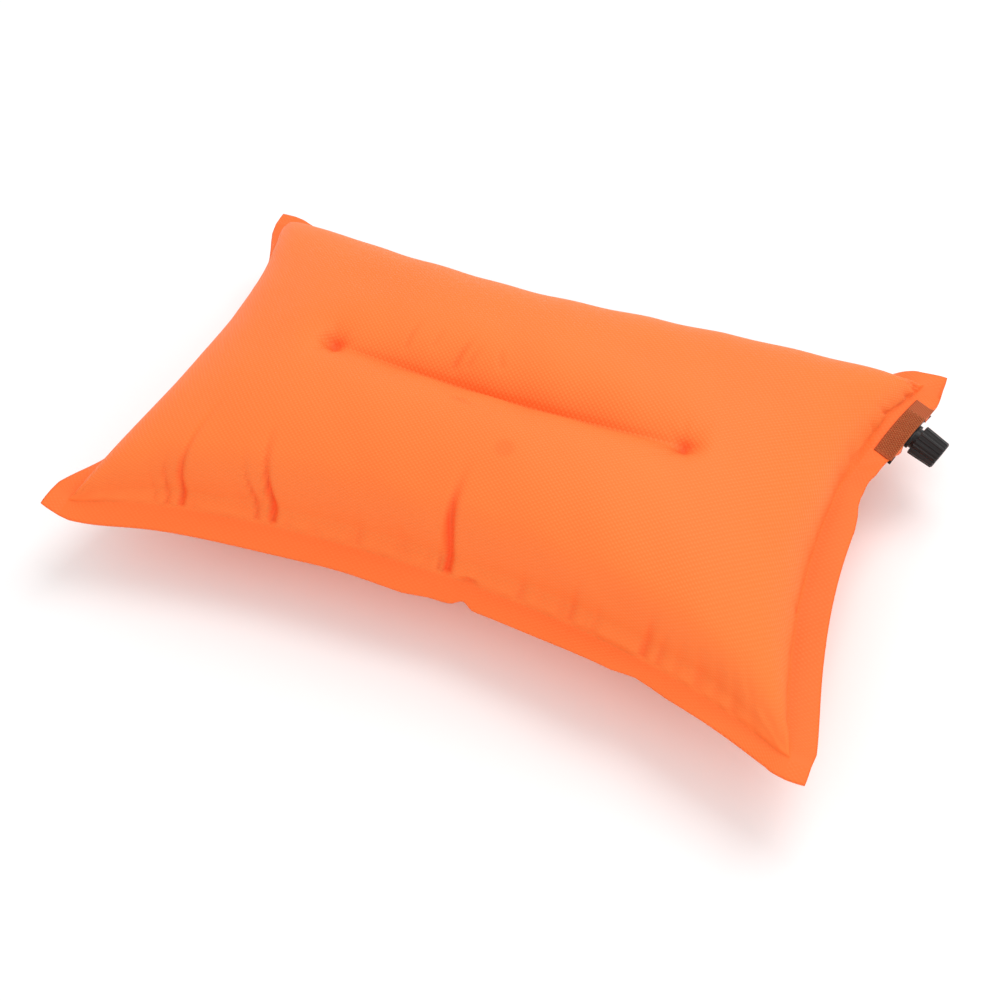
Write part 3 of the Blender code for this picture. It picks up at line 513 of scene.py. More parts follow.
def droop_flange(grid, flat):
    """Turns the flange down about the weld line, less at the corners and not at all at the valve."""
    weld = grid[np.ix_(*held_in(grid, FLANGE_CELLS))]
    out = grid - weld
    reach = np.linalg.norm(out, axis=-1)
    past_x = np.abs(flat[..., 0]) > FLAT_HALF_X + TINY
    past_y = np.abs(flat[..., 1]) > FLAT_HALF_Y + TINY
    on_valve_end = past_x & (flat[..., 0] > 0)
    share_x = np.clip(weld[..., 0] / (HALF_LENGTH - FLANGE + CORNER_PUSH), -1, 1)
    share_y = np.clip(weld[..., 1] / (HALF_DEPTH - FLANGE + CORNER_PUSH), -1, 1)
    on_ends = np.where(flat[..., 0] < 0, DROOPS["left"], DROOPS["right"])
    to_right = 1 - smooth_fade(weld[..., 0], 0.0, FRONT_DROOP_FADE)
    front = DROOPS["front"] + (FRONT_DROOP_RIGHT - DROOPS["front"]) * to_right
    on_sides = np.where(flat[..., 1] < 0, front, DROOPS["back"])
    full = np.where(past_x, on_ends, on_sides)
    middle = np.where(past_x, 1 - np.abs(share_y) ** DROOP_POWERS[0], 1 - np.abs(share_x) ** DROOP_POWERS[1])
    middle = middle * ~(past_x & past_y)
    angle = np.radians(CORNER_DROOP + (full - CORNER_DROOP) * middle) * (reach > 0)
    angle *= 1 - valve_share(weld)
    out[..., 0] *= 1 + RIGHT_WIDER / FLANGE * middle * on_valve_end * (1 - valve_share(weld))
    covered = smooth_fade(np.abs((weld[..., :2] - ON_WELD) @ ALONG), *BOAT_COVER_ALONG)
    at_edge = np.clip(reach / FLANGE - 0.5, 0, 0.5) * 2 * on_valve_end
    out[..., :2] += (BOAT_COVER * covered * at_edge)[..., None] * OUTWARD
    grid[..., :2] = weld[..., :2] + out[..., :2] * np.cos(angle)[..., None]
    grid[..., 2] = weld[..., 2] - reach * np.sin(angle)


def past_weld(flat, axis, side):
    """0 on the weld line and 1 at the edge of the flange on one side of the sheet."""
    half = FLAT_HALF_X if axis == 0 else FLAT_HALF_Y
    return np.clip((side * flat[..., axis] - half) / FLANGE, 0, 1)


def gather_notch(top, bottom, flat):
    """A gather beside the deepest front fold nips the flange's edge."""
    beyond = smooth_fade(flat[..., 1] + FLAT_HALF_Y, 0.0, NOTCH_FADE)
    near = np.exp(-(((flat[..., 0] - NOTCH_X) / NOTCH_HALF_WIDTH) ** 2)) * beyond
    for grid in (top, bottom):
        grid[..., 1] += NOTCH_IN * near
        grid[..., 2] += NOTCH_UP * near


def shape_outline(grid, flat):
    """Draws the flange's edge in, or a little out, where it is gathered or curls."""
    for axis, side, places, pulls in OUTLINE:
        pull = np.interp(grid[..., 1 - axis], places, pulls)
        grid[..., axis] -= side * past_weld(flat, axis, side) * pull
    lift = past_weld(flat, 0, -1) * smooth_fade(grid[..., 1], LIFTED_UP_TO, LIFT_FADE)
    grid[..., 2] += FRONT_LEFT_CURL * lift
    away = np.hypot(grid[..., 0] + HALF_LENGTH - FLANGE, grid[..., 1] + HALF_DEPTH - FLANGE)
    grid[..., 2] -= FRONT_LEFT_SAG * np.exp(-((away / SAG_RADIUS) ** 2))
    for sx, sy, out_x, out_y, up in TIPS:
        both = past_weld(flat, 0, sx) * past_weld(flat, 1, sy)
        grid += (both**1.5)[..., None] * np.array([sx * out_x, sy * out_y, up])


def fill_out(grid, flat):
    """Swells the back and left shoulders of the top sheet."""
    share_x = np.abs(np.clip(flat[..., 0] / FLAT_HALF_X, -1, 1)) ** SHOULDER_POWER
    share_y = np.abs(np.clip(flat[..., 1] / FLAT_HALF_Y, -1, 1)) ** SHOULDER_POWER
    back_height = 0.001 * np.interp(flat[..., 0], *BACK_SHOULDER)
    for deep, height, (peak, length), ends in (
        (FLAT_HALF_Y - flat[..., 1], back_height, BACK_SHOULDER_DEEP, 1 - share_x),
        (FLAT_HALF_X + flat[..., 0], LEFT_SHOULDER, LEFT_SHOULDER_DEEP, (1 - share_x) * (1 - share_y)),
    ):
        bulge = (1 - smooth_fade(deep, 0.0, peak)) * smooth_fade(deep, peak, length) * ends
        grid += normals(grid) * (height * bulge)[..., None]


def ease_front(grid, flat):
    """Leans the front wall back from the weld line, so that it runs into the flange at a slope."""
    deep = FLAT_HALF_Y + flat[..., 1]
    rise = 1 - smooth_fade(deep, 0.0, FRONT_EASE_DEEP[0])
    lean = rise * smooth_fade(deep, *FRONT_EASE_DEEP) * smooth_fade(np.abs(flat[..., 0]), *FRONT_EASE_X)
    grid[..., 1] += FRONT_EASE * lean
    grid[..., 2] -= FRONT_EASE_DOWN * lean


def flange_waves(grid, flat, draw):
    """The border isn't quite flat: it waves more towards its edge."""
    out = np.maximum(np.abs(flat[..., 0]) - FLAT_HALF_X, np.abs(flat[..., 1]) - FLAT_HALF_Y) / FLANGE
    return np.clip(out, 0, 1) * slow_waves(grid, draw, *FLANGE_WAVES)


# ---- The valve's seat ----
def valve_axes():
    step = 0.001
    yaw = math.atan((weld_x(VALVE_Y + step) - weld_x(VALVE_Y - step)) / (2 * step))
    on_weld = np.array([weld_x(VALVE_Y), VALVE_Y])
    return on_weld, np.array([math.sin(yaw), math.cos(yaw)]), np.array([math.cos(yaw), -math.sin(yaw)])


ON_WELD, ALONG, OUTWARD = valve_axes()


def tree_of(obj):
    """The object's faces, for casting rays at."""
    return BVHTree.FromPolygons([v.co for v in obj.data.vertices], [p.vertices for p in obj.data.polygons])


def height_on(tree, x, y, side):
    """Height of the topmost (side 1) or lowest face, or None past the object's outline."""
    spot, *_ = tree.ray_cast(Vector((x, y, side)), Vector((0, 0, -side)))
    return None if spot is None else spot.z


def valve_share(grid):
    """1 round the valve, where the sheet follows the CAD's, and 0 away from it."""
    offset = grid[..., :2] - ON_WELD
    along, out = offset @ ALONG, offset @ OUTWARD
    return smooth_fade(np.abs(along), *VALVE_ZONE) * smooth_fade(-out, *VALVE_ZONE_IN)


def seat_valve(grid, flat, side):
    """Blends the sheet into the CAD's round the valve, where it opens over the boat and droops."""
    tree = tree_of(frame["nodes"]["top_sheet" if side > 0 else "bottom_sheet"])
    share = valve_share(grid)
    depth = inside(flat)
    lift = np.zeros(grid.shape[:2])
    for i, j in zip(*np.nonzero((share > 0.001) & (depth < TINY))):
        out = (grid[i, j, :2] - ON_WELD) @ OUTWARD
        along = (grid[i, j, :2] - ON_WELD) @ ALONG
        sampled = min(max(out, SEAT_FROM), SEAT_TO)
        x, y = grid[i, j, :2] + (sampled - out) * OUTWARD - SEAT_TIP_BACK * ALONG * (along > SEAT_TIP)
        height = height_on(tree, x + PILLOW_X, y, side)
        if height is not None:
            lift[i, j] = share[i, j] * (height - WELD_HEIGHT - grid[i, j, 2])
    edge = 2 * FLANGE_CELLS
    end_lift = np.broadcast_to(lift[grid.shape[0] - 1 - edge][None, :], lift.shape)
    back_lift = np.broadcast_to(lift[:, grid.shape[1] - 1 - edge][:, None], lift.shape)
    from_end = smooth_fade(FLAT_HALF_X - flat[..., 0], 0.0, SEAT_FADE)
    from_back = smooth_fade(FLAT_HALF_Y - flat[..., 1], 0.0, SEAT_FADE)
    both = np.maximum(from_end + from_back, 1)
    panel_lift = (end_lift * from_end + back_lift * from_back) / both
    grid[..., 2] += np.where(depth < TINY, lift, panel_lift)


# ---- Building meshes ----
def new_object(name, points, faces, material, body):
    mesh = bpy.data.meshes.new(name)
    mesh.from_pydata(np.asarray(points).tolist(), [], [list(map(int, face)) for face in faces])
    mesh.shade_smooth()
    mesh.materials.append(material)
    obj = bpy.data.objects.new(name, mesh)
    bpy.context.scene.collection.objects.link(obj)
    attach(obj, body)
    return obj


def slab(name, top, bottom, cells, material, body, slot, flat=None, fields=()):
    """A closed body between two grids of points, over the cells that are True. fields are (name, values on
    the top grid, values on the bottom grid), which the material reads as attributes."""
    count = top.shape[0] * top.shape[1]
    upper = np.arange(count).reshape(top.shape[:2])
    faces = []
    for i, j in zip(*np.nonzero(cells)):
        loop = [(i, j), (i + 1, j), (i + 1, j + 1), (i, j + 1)]
        faces.append([upper[c] for c in loop])
        faces.append([count + upper[c] for c in reversed(loop)])
        beside = [(i, j - 1), (i + 1, j), (i, j + 1), (i - 1, j)]
        for k, (a, b) in enumerate(beside):
            outside = a < 0 or b < 0 or a >= cells.shape[0] or b >= cells.shape[1]
            if outside or not cells[a, b]:
                first, second = upper[loop[k]], upper[loop[(k + 1) % 4]]
                faces.append([second, first, count + first, count + second])
    used = np.unique(np.concatenate([np.array(face) for face in faces]))
    renumber = np.zeros(2 * count, int)
    renumber[used] = np.arange(len(used))
    points = np.concatenate([top.reshape(-1, 3), bottom.reshape(-1, 3)])[used]
    made = new_object(name, points, [renumber[face] for face in faces], material, body)
    if flat is not None:
        flat_points = np.concatenate([flat.reshape(-1, 3), flat.reshape(-1, 3)])[used][:, :2]
        loops = np.empty(len(made.data.loops), int)
        made.data.loops.foreach_get("vertex_index", loops)
        layer = made.data.uv_layers.new(name=FLAT_MAP)
        layer.data.foreach_set("uv", flat_points[loops].astype(np.float32).ravel())
    for field, on_top, on_bottom in fields:
        values = np.concatenate([on_top.ravel(), on_bottom.ravel()])[used]
        made.data.attributes.new(field, "FLOAT", "POINT").data.foreach_set("value", values.astype(np.float32))
    return made


def world(grid):
    return grid + np.array([PILLOW_X, 0, WELD_HEIGHT])


# ---- Materials ----
def node(tree, kind, inputs=(), **settings):
    """Adds a node. inputs is a list of (socket, value or another node's output)."""
    made = tree.nodes.new("ShaderNode" + kind)
    for name, value in settings.items():
        setattr(made, name, value)
    for socket, value in inputs:
        if isinstance(value, bpy.types.NodeSocket):
            tree.links.new(value, made.inputs[socket])
        else:
            made.inputs[socket].default_value = value
    return made


def maths(tree, operation, *values):
    return node(tree, "Math", list(enumerate(values)), operation=operation).outputs[0]


def mixed(tree, share, first, second):
    made = node(tree, "Mix", data_type="RGBA")
    for socket, value in ((made.inputs[0], share), (made.inputs[6], first), (made.inputs[7], second)):
        if isinstance(value, bpy.types.NodeSocket):
            tree.links.new(value, socket)
        else:
            socket.default_value = value
    return made.outputs[2]


def ranged(tree, value, low, high, new_low, new_high):
    inputs = [(0, value), (1, low), (2, high), (3, new_low), (4, new_high)]
    return node(tree, "MapRange", inputs).outputs[0]


def place_on(tree):
    return node(tree, "TexCoord").outputs["Object"]


def noise(tree, scale, detail, place=None):
    if place is None:
        place = place_on(tree)
    return node(tree, "TexNoise", [("Vector", place), ("Scale", scale), ("Detail", detail)]).outputs["Fac"]


def bumped(tree, height, distance, under=None, strength=1.0):
    inputs = [("Height", height), ("Distance", distance), ("Strength", strength)]
    if under is not None:
        inputs.append(("Normal", under))
    return node(tree, "Bump", inputs).outputs["Normal"]


def new_material(name, **sockets):
    made = bpy.data.materials.new(name)
    made.use_nodes = True
    shader = made.node_tree.nodes["Principled BSDF"]
    for socket, value in sockets.items():
        shader.inputs[socket.replace("_", " ")].default_value = value
    return made, made.node_tree, shader


def wire(tree, shader, colour, roughness, normal=None):
    """Connects what varies over the surface to the shader."""
    for socket, output in (("Base Color", colour), ("Roughness", roughness), ("Normal", normal)):
        if output is not None:
            tree.links.new(output, shader.inputs[socket])


def mottled(name, specular, tone, colours, roughness, grain=None):
    """A material whose colour and gloss vary with one noise. tone is its scale and detail, and grain is the
    scale, detail and depth of a bump."""
    made, tree, shader = new_material(name, Specular_IOR_Level=specular)
    shade = noise(tree, *tone)
    normal = bumped(tree, noise(tree, *grain[:2]), grain[2]) if grain else None
    wire(tree, shader, mixed(tree, shade, *colours), ranged(tree, shade, 0, 1, *roughness), normal)
    return made


DOT_SPACING = (0.0030, 0.0024)  # of the embossed dots, along and across the pillow
DOT_WARP_SCALE, DOT_WARP = 60.0, 2.0
DOT_DEPTH, THREAD_DEPTH, THREAD_SCALE = 0.00016, 0.00004, 2600.0
FLANGE_SHADE_EDGE = (-0.0015, 0.0010)  # past the weld line: where the painted shade on the flange starts and is full
ORANGES = ((1.0, 0.172, 0.028, 1), (1.0, 0.205, 0.038, 1))
DOT_ORANGE, DOT_SHARE = (1.0, 0.275, 0.070, 1), 0.30
MARK_ORANGE, MARK_SHARE = (0.90, 0.130, 0.020, 1), 0.30
# painted shade on the flange and in the weld line's valley
FLANGE_SHADE_ORANGE, FLANGE_SHADE_SHARE = (1.0, 0.130, 0.020, 1), 0.42
# painted shade down in the folds
FOLD_SHADE_ORANGE, FOLD_SHADE_SHARE = (1.0, 0.085, 0.012, 1), 0.75


def lattice(tree, flat_x, flat_y):
    """Rows of small embossed dots in a diamond lattice, 0 between them and 1 on each."""
    across = maths(tree, "MULTIPLY", flat_x, 2 * math.pi / DOT_SPACING[0])
    down = maths(tree, "MULTIPLY", flat_y, 2 * math.pi / DOT_SPACING[1])
    down = maths(tree, "ADD", down, maths(tree, "MULTIPLY", noise(tree, DOT_WARP_SCALE, 1.0), DOT_WARP))
    first = maths(tree, "COSINE", maths(tree, "ADD", across, down))
    second = maths(tree, "COSINE", maths(tree, "SUBTRACT", across, down))
    return ranged(tree, maths(tree, "ADD", first, second), -0.6, 1.5, 0.0, 1.0)


def fabric_material():
    """Coated polyester: dots embossed in it, with painted shade on the flange and along the weld line, and
    painted shade down in its folds.
    """
    made, tree, shader = new_material(
        "coated_fabric_orange", Sheen_Weight=0.05, Sheen_Roughness=0.45, Specular_IOR_Level=0.22
    )
    shader.inputs["Sheen Tint"].default_value = (1.0, 0.62, 0.40, 1)
    smooth, fold_shade = (node(tree, "Attribute", attribute_name=name).outputs["Fac"] for name in (STRETCH, FOLD_SHADE))
    flat = node(tree, "UVMap", uv_map=FLAT_MAP).outputs[0]
    flat_x, flat_y = node(tree, "SeparateXYZ", [(0, flat)]).outputs[:2]
    dots = lattice(tree, flat_x, flat_y)
    tone = noise(tree, 9.0, 2.0)
    dot_share = maths(tree, "MULTIPLY", ranged(tree, dots, 0, 1, 0.0, DOT_SHARE), smooth)
    colour = mixed(tree, dot_share, mixed(tree, tone, *ORANGES), DOT_ORANGE)
    mark_x, mark_y, mark_radius = ROUND_MARK
    away = node(tree, "VectorMath", [(0, flat), (1, (mark_x, mark_y, 0))], operation="DISTANCE")
    marked = ranged(tree, away.outputs["Value"], mark_radius * 0.7, mark_radius * 1.25, MARK_SHARE, 0.0)
    colour = mixed(tree, marked, colour, MARK_ORANGE)
    over_x = maths(tree, "SUBTRACT", maths(tree, "ABSOLUTE", flat_x), FLAT_HALF_X)
    over_y = maths(tree, "SUBTRACT", maths(tree, "ABSOLUTE", flat_y), FLAT_HALF_Y)
    # painted shade on the flange and in the weld line's valley, the same all round
    welded = ranged(tree, maths(tree, "MAXIMUM", over_x, over_y), *FLANGE_SHADE_EDGE, 0.0, FLANGE_SHADE_SHARE)
    colour = mixed(tree, welded, colour, FLANGE_SHADE_ORANGE)
    # painted shade down in the folds, darker in deeper folds
    colour = mixed(tree, maths(tree, "MULTIPLY", fold_shade, FOLD_SHADE_SHARE), colour, FOLD_SHADE_ORANGE)
    rough = maths(tree, "ADD", ranged(tree, tone, 0, 1, 0.50, 0.60), ranged(tree, dots, 0, 1, 0.03, -0.05))
    normal = bumped(tree, dots, DOT_DEPTH, strength=smooth)
    threads = noise(tree, THREAD_SCALE, 2.0, flat)
    wire(tree, shader, colour, rough, bumped(tree, threads, THREAD_DEPTH, normal, smooth))
    return made


def tape_material():
    made, tree, shader = new_material(
        "hook_tape", Sheen_Weight=0.06, Sheen_Roughness=0.5, Specular_IOR_Level=0.3
    )
    inputs = [("Vector", place_on(tree)), ("Scale", 420.0), ("Distortion", 1.2)]
    weave = node(tree, "TexWave", inputs, bands_direction="DIAGONAL").outputs["Fac"]
    tone = noise(tree, 180.0, 3.0)
    colour = mixed(tree, weave, (0.33, 0.062, 0.013, 1), (0.48, 0.096, 0.021, 1))
    colour = mixed(tree, ranged(tree, tone, 0.3, 0.7, 0, 0.5), colour, (0.40, 0.095, 0.026, 1))
    wire(tree, shader, colour, ranged(tree, tone, 0, 1, 0.6, 0.8), bumped(tree, weave, 0.00015))
    return made


def hook_material():
    browns = ((0.40, 0.115, 0.030, 1), (0.60, 0.21, 0.065, 1))
    return mottled("hooks", 0.5, (260.0, 2.0), browns, (0.35, 0.5), (260.0, 2.0, 0.00003))


def plastic_material(name, colour, roughness, grain):
    """Moulded plastic: a fine spark-eroded grain and slightly uneven gloss."""
    lighter = tuple(1.6 * c + 0.004 for c in colour)
    glosses = (roughness - 0.06, roughness + 0.08)
    return mottled(name, 0.3, (120.0, 3.0), ((*colour, 1), (*lighter, 1)), glosses, (2200.0, 2.0, grain))


def foam_material():
    made, tree, shader = new_material("open_cell_foam", Specular_IOR_Level=0.2)
    cells = node(tree, "TexVoronoi", [("Vector", place_on(tree)), ("Scale", 700.0)]).outputs["Distance"]
    tone = noise(tree, 14.0, 3.0)
    colour = mixed(tree, tone, (0.84, 0.78, 0.58, 1), (0.93, 0.89, 0.74, 1))
    colour = mixed(tree, ranged(tree, cells, 0.1, 0.6, 0.5, 0), colour, (0.6, 0.53, 0.36, 1))
    wire(tree, shader, colour, ranged(tree, tone, 0, 1, 0.88, 1.0), bumped(tree, cells, 0.0005))
    return made


def film_material():
    whites = ((0.78, 0.75, 0.68, 1), (0.88, 0.86, 0.80, 1))
    return mottled("tie_film", 0.45, (40.0, 3.0), whites, (0.35, 0.55), (500.0, 2.0, 0.0001))


def floor_material():
    greys = ((0.93, 0.93, 0.93, 1), (0.95, 0.95, 0.95, 1))
    return mottled("pale_floor", 0.1, (3.0, 2.0), greys, (0.85, 0.95))


# ---- Pieces ----
DETAIL_FADE = 0.0035  # from the weld line to where the folds reach their full depth
FOAM_SHRINK, FOAM_MARGIN, FOAM_LEAST_ROOM = 0.0028, 0.020, 0.010
FOAM_SLOT_END, FOAM_SLOT_HALF_WIDTH = 0.002, 0.0019
FILM_END, FILM_MARGIN, FILM_THICKNESS, FILM_LINES = 0.001, 0.0014, 0.0005, 24
PATCH_THICKNESS, PATCH_RIM = 0.0006, 0.55  # and the share of it along the edges
PATCH_CELLS = (60, 16)
HOOK_ROWS, HOOK_COLUMNS, HOOK_SIDES = 8, 22, 5
HOOKS_ALONG, HOOKS_ACROSS = (0.04, 0.74), (0.07, 0.86)  # where they start and how far they go, as shares
HOOK_RADIUS, HOOK_RISE, HOOK_REACH, HOOK_SUNK = 0.00020, 0.0009, 0.00065, 0.0001
HOOK_SWING = 0.35  # how far a hook may lean aside
HOOK_BEND = ((0.0, 0.0), (0.0, 0.5), (0.15, 0.85), (0.5, 1.0), (0.85, 0.9), (1.0, 0.65))  # as shares


def make_casing(material):
    """Both sheets, welded round the flange, as one closed skin."""
    draw = np.random.default_rng(SEED)
    top, bottom = with_flange(panel(1)), with_flange(panel(-1))
    flat = with_flange(flat_panel())
    top, bottom = simulate(top, bottom, flat)
    for grid in (top, bottom):
        droop_flange(grid, flat)
    top, bottom, flat = finer(top), finer(bottom), finer(flat)
    ease_front(top, flat)
    fill_out(top, flat)
    waves = flange_waves(top, flat, draw)
    on_panel = 1 - smooth_fade(inside(flat), 0.0, DETAIL_FADE)
    smooth = [stretched(grid, flat) for grid in (top, bottom)]
    details = on_panel * smooth[0] * top_details(flat, draw)
    top += normals(top) * details[..., None]
    bottom -= normals(bottom) * (on_panel * smooth[1] * bottom_details(flat, draw))[..., None]
    # painted shade in the folds, from their depth, for the material
    fold_shade = np.clip(-details / FOLD_SHADE_DEPTH, 0, 1) ** FOLD_SHADE_POWER
    gather_notch(top, bottom, flat)
    shape_outline(top, flat)
    shape_outline(bottom, flat)
    top[..., 2] += FLANGE_HALF_THICKNESS + waves
    bottom[..., 2] += waves - FLANGE_HALF_THICKNESS
    seat_valve(top, flat, 1)
    seat_valve(bottom, flat, -1)
    bottom[..., 2] = np.maximum(bottom[..., 2], -WELD_HEIGHT)
    cells = np.ones((top.shape[0] - 1, top.shape[1] - 1), bool)
    fields = ((STRETCH, *smooth), (FOLD_SHADE, fold_shade, 0 * fold_shade))
    sheets = world(top), world(bottom)
    casing = slab("casing", *sheets, cells, material, "pillow", "coated_fabric", flat, fields)
    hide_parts("top_sheet", "bottom_sheet")
    return casing, top, bottom, flat


def make_foam(casing_top, casing_bottom, flat, material):
    """The foam core, just inside the casing, with a slot for the tie strip."""
    top = casing_top - normals(casing_top) * FOAM_SHRINK
    bottom = casing_bottom + normals(casing_bottom) * FOAM_SHRINK
    middle = (flat[:-1, :-1] + flat[1:, 1:]) / 2
    cells = inside(middle) > FOAM_MARGIN
    room = casing_top[..., 2] - casing_bottom[..., 2] > 2 * FOAM_SHRINK + FOAM_LEAST_ROOM
    for grid in (casing_top, casing_bottom):
        room &= np.abs(grid[..., 0]) < weld_x(grid[..., 1]) - FOAM_MARGIN
        room &= np.abs(grid[..., 1]) < weld_y(grid[..., 0]) - FOAM_MARGIN
    cells &= room[:-1, :-1] & room[1:, 1:] & room[:-1, 1:] & room[1:, :-1]
    at = (casing_top[:-1, :-1] + casing_top[1:, 1:]) / 2
    in_slot = np.abs(at[..., 0] - CREASE_X) < CREASE_HALF + FOAM_SLOT_END
    in_slot &= np.abs(at[..., 1]) < FOAM_SLOT_HALF_WIDTH
    foam = slab("foam_slab", world(top), world(bottom), cells & ~in_slot, material, "pillow", "foam")
    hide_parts("foam_core")


def make_tie_film(casing_top, casing_bottom, material):
    """The web that holds the two sheets together along the crease."""
    row = casing_top.shape[1] // 2
    across = np.abs(casing_top[:, row, 0] - CREASE_X) < CREASE_HALF - FILM_END
    high, low = casing_top[across, row], casing_bottom[across, row]
    share = np.linspace(0, 1, FILM_LINES + 1)
    heights = (low[:, 2] + FILM_MARGIN)[:, None] + (high[:, 2] - low[:, 2] - 2 * FILM_MARGIN)[:, None] * share
    middle = np.stack([np.repeat(high[:, :1], FILM_LINES + 1, 1), 0 * heights, heights], -1)
    half = np.array([0, FILM_THICKNESS / 2, 0])
    cells = np.ones((middle.shape[0] - 1, FILM_LINES), bool)
    film = slab("tie_film", world(middle - half), world(middle + half), cells, material, "pillow", "tie_film")
    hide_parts("tie_strip")


def edge_of(along, out, side):
    """The patch's inner (side -1) or outer edge, as places along it and how far out the edge lies there."""
    order = np.unique(np.round(along, 4))
    reach = [(side * out[np.abs(along - a) < 0.0006]).max() * side for a in order]
    return order, np.array(reach)


def tape_grid(node_name, casing, side, shift):
    """Points for a patch's inner face: the CAD patch's outline, laid on the casing a little further out."""
    lengthwise, widthwise = PATCH_CELLS
    tree = tree_of(casing)
    corners = np.array([v.co for v in frame["nodes"][node_name].data.vertices])
    offset = corners[:, :2] - np.array([PILLOW_X, 0]) - ON_WELD
    along, out = offset @ ALONG, offset @ OUTWARD
    points = np.zeros((lengthwise + 1, widthwise + 1, 3))
    for i, a in enumerate(np.linspace(along.min(), along.max(), lengthwise + 1)):
        low, high = np.interp(a, *edge_of(along, out, -1)), np.interp(a, *edge_of(along, out, 1))
        for j, b in enumerate(np.linspace(low, high, widthwise + 1)):
            place = ON_WELD + a * ALONG + (b + shift) * OUTWARD
            height = height_on(tree, place[0] + PILLOW_X, place[1], side)
            if height is None:
                height = points[i, j - 1, 2]
            points[i, j] = (place[0] + PILLOW_X, place[1], height + side * PATCH_GAP)
    for _ in range(4):
        points[1:-1, :, 2] = (points[:-2, :, 2] + 2 * points[1:-1, :, 2] + points[2:, :, 2]) / 4
        points[:, 1:-1, 2] = (points[:, :-2, 2] + 2 * points[:, 1:-1, 2] + points[:, 2:, 2]) / 4
    return points


def make_patch(name, node_name, casing, side, shift, material, slot_name):
    """A patch on the flange's upper (side 1) or lower face. Returns its outer face and the way it faces."""
    inner_face = tape_grid(node_name, casing, side, shift)
    swell = np.ones(inner_face.shape[:2])
    swell[[0, -1], :] = PATCH_RIM
    swell[:, [0, -1]] = PATCH_RIM
    away = normals(inner_face) * side
    if np.mean(away[..., 2]) * side < 0:
        away = -away
    outer = inner_face + away * (PATCH_THICKNESS * swell)[..., None]
    upper, lower = (outer, inner_face) if side > 0 else (inner_face, outer)
    cells = np.ones((outer.shape[0] - 1, outer.shape[1] - 1), bool)
    patch = slab(name, upper, lower, cells, material, "pillow", slot_name)
    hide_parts(node_name)
    return outer, away


def add_hook(points, faces, base, up, lean):
    """Adds one bent stub, which rises from its base and leans over."""
    aside = np.cross(up, lean)
    start, last = len(points), len(HOOK_BEND) - 1
    for k, (forward, high) in enumerate(HOOK_BEND):
        after, before = HOOK_BEND[min(k + 1, last)], HOOK_BEND[max(k - 1, 0)]
        ahead = lean * (after[0] - before[0]) * HOOK_REACH + up * (after[1] - before[1]) * HOOK_RISE
        ahead /= np.linalg.norm(ahead)
        across = np.cross(aside, ahead)
        middle = base + lean * forward * HOOK_REACH + up * (high * HOOK_RISE - HOOK_SUNK * (k == 0))
        for turn in range(HOOK_SIDES):
            angle = 2 * math.pi * turn / HOOK_SIDES
            points.append(middle + HOOK_RADIUS * (math.cos(angle) * across + math.sin(angle) * aside))
    for k in range(last):
        for turn in range(HOOK_SIDES):
            first, second = (start + k * HOOK_SIDES + t % HOOK_SIDES for t in (turn, turn + 1))
            faces.append([first, second, second + HOOK_SIDES, first + HOOK_SIDES])
    faces.append([start + turn for turn in reversed(range(HOOK_SIDES))])
    faces.append([start + last * HOOK_SIDES + turn for turn in range(HOOK_SIDES)])


def make_hooks(face, away, material):
    """Rows of small bent hooks on the middle of the tape. Its two ends are plain."""
    draw = np.random.default_rng(SEED + 1)
    points, faces = [], []
    for row in range(HOOK_ROWS):
        for column in range(HOOK_COLUMNS):
            i = HOOKS_ALONG[0] + HOOKS_ALONG[1] * (column + 0.5 * (row % 2)) / HOOK_COLUMNS
            j = HOOKS_ACROSS[0] + HOOKS_ACROSS[1] * row / (HOOK_ROWS - 1)
            i_at, j_at = i * (face.shape[0] - 1), j * (face.shape[1] - 1)
            a, b = int(i_at), int(j_at)
            corner, up = face[a, b], away[a, b]
            base = corner + (i_at - a) * (face[a + 1, b] - corner) + (j_at - b) * (face[a, b + 1] - corner)
            lean = np.array([*OUTWARD, 0]) + draw.uniform(-HOOK_SWING, HOOK_SWING) * np.array([*ALONG, 0])
            lean -= up * (lean @ up)
            add_hook(points, faces, base, up, lean / np.linalg.norm(lean))
    new_object("tape_hooks", points, faces, material, "pillow")


def dress(node_name, material):
    """Gives a CAD node that stays its finish."""
    obj = frame["nodes"][node_name]
    obj.data.materials.clear()
    obj.data.materials.append(material)


# ---- Studio ----
FLOOR_REACH, FLOOR_GAP = 4.0, 0.0003
SKY_STRENGTH = 0.84
LIGHTS = (("key", (0.30, 0.72, 1.45), 1.0, 10.5), ("fill", (0.9, -1.2, 1.0), 1.4, 4.5))  # place, size, watts
LIGHT_AIM = Vector((0, 0, 0.05))
CAMERA_ANGLES = (32.163, 52.179, -8.891)  # azimuth, elevation and roll, in degrees
CAMERA_DISTANCE, CAMERA_TARGET = 0.70074, Vector((0.01557, -0.03624, 0.050))
CAMERA_LENS, CAMERA_SENSOR = 45.395, 36.0


def make_floor(material):
    mesh = bpy.data.meshes.new("floor")
    corners = [(x * FLOOR_REACH, y * FLOOR_REACH, 0) for x, y in ((-1, -1), (1, -1), (1, 1), (-1, 1))]
    mesh.from_pydata(corners, [], [(0, 1, 2, 3)])
    mesh.materials.append(material)
    floor = bpy.data.objects.new("floor", mesh)
    bpy.context.scene.collection.objects.link(floor)
    floor.location.z = -FLOOR_GAP


def make_light(name, place, size, power):
    data = bpy.data.lights.new(name, "AREA")
    data.energy, data.size = power, size
    light = bpy.data.objects.new(name, data)
    bpy.context.scene.collection.objects.link(light)
    light.location = place
    light.rotation_euler = (Vector(place) - LIGHT_AIM).to_track_quat("Z", "Y").to_euler()


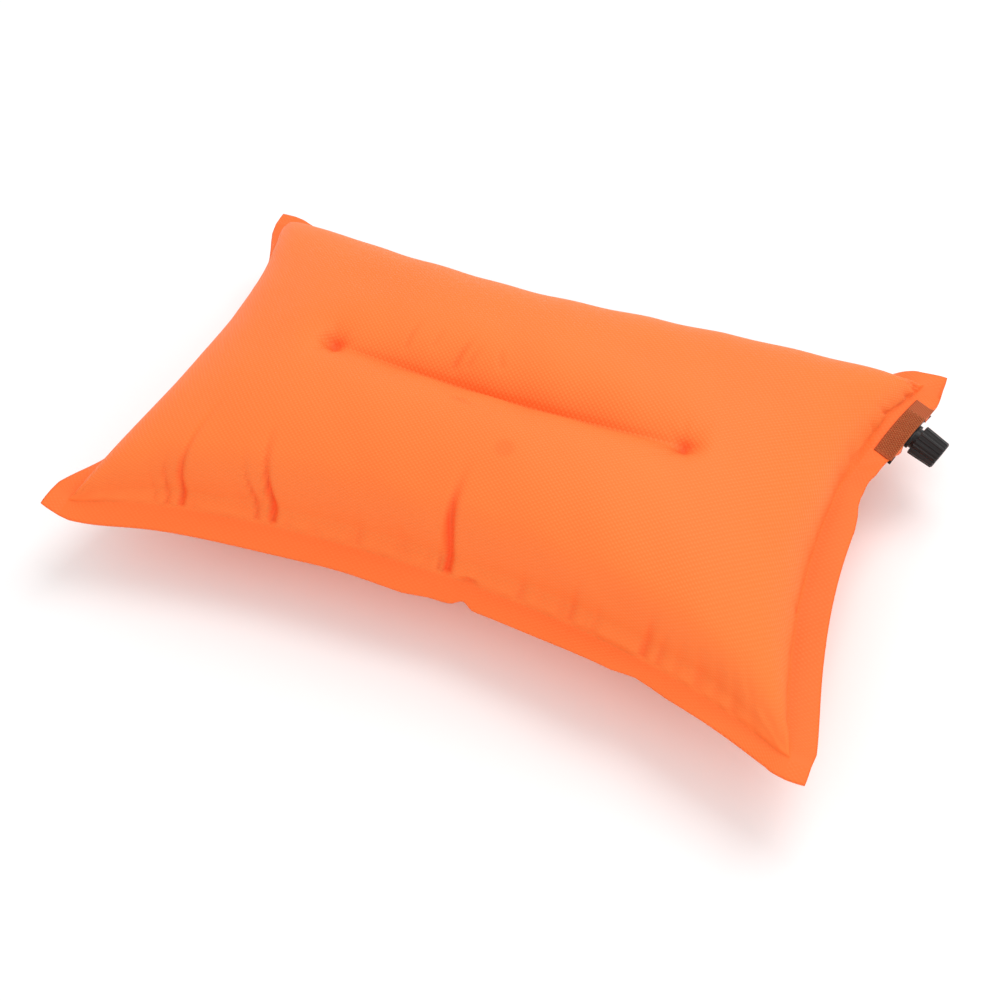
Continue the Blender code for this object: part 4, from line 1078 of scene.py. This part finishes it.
def make_studio():
    world_data = bpy.data.worlds.new("studio")
    world_data.use_nodes = True
    background = world_data.node_tree.nodes["Background"]
    background.inputs["Color"].default_value = (1, 1, 1, 1)
    background.inputs["Strength"].default_value = SKY_STRENGTH
    scene = bpy.context.scene
    scene.world = world_data
    scene.view_settings.view_transform = "Standard"
    for name, place, size, power in LIGHTS:
        make_light(name, place, size, power)


def make_camera():
    azimuth, elevation, roll = (math.radians(angle) for angle in CAMERA_ANGLES)
    level = math.cos(elevation)
    back = Vector((math.sin(azimuth) * level, -math.cos(azimuth) * level, math.sin(elevation)))
    right = (-back).cross(Vector((0, 0, 1))).normalized()
    up = right.cross(-back)
    rolled_right = right * math.cos(roll) + up * math.sin(roll)
    rolled_up = up * math.cos(roll) - right * math.sin(roll)
    data = bpy.data.cameras.new("camera")
    data.sensor_width = CAMERA_SENSOR
    data.lens = CAMERA_LENS
    camera = bpy.data.objects.new("camera", data)
    bpy.context.scene.collection.objects.link(camera)
    turned = Matrix((rolled_right, rolled_up, back)).transposed().to_4x4()
    camera.matrix_world = Matrix.Translation(CAMERA_TARGET + back * CAMERA_DISTANCE) @ turned
    bpy.context.scene.camera = camera


make_camera()
make_studio()
make_floor(floor_material())
tape = tape_material()
black = plastic_material("hard_black_plastic", (0.008, 0.006, 0.006), 0.34, 0.00003)
soft_black = plastic_material("soft_black_plastic", (0.009, 0.008, 0.008), 0.50, 0.00006)
rubber = plastic_material("seal_rubber", (0.016, 0.016, 0.016), 0.70, 0.00005)

casing, casing_top, casing_bottom, casing_flat = make_casing(fabric_material())
make_foam(casing_top, casing_bottom, casing_flat, foam_material())
hook_shift, backing_shift = PATCH_SHIFTS
tape_face = make_patch("hook_patch", "upper_valve_patch", casing, 1, hook_shift, tape, "patch_tape")
make_hooks(*tape_face, hook_material())
make_patch("backing_patch", "lower_valve_patch", casing, -1, backing_shift, soft_black, "backing_tape")
make_tie_film(casing_top, casing_bottom, film_material())
for name, finish in (
    ("valve_base", soft_black),
    ("valve_stem", black),
    ("stem_o_ring", rubber),
    ("cap_seal", rubber),
    ("valve_cap", black),
):
    dress(name, finish)
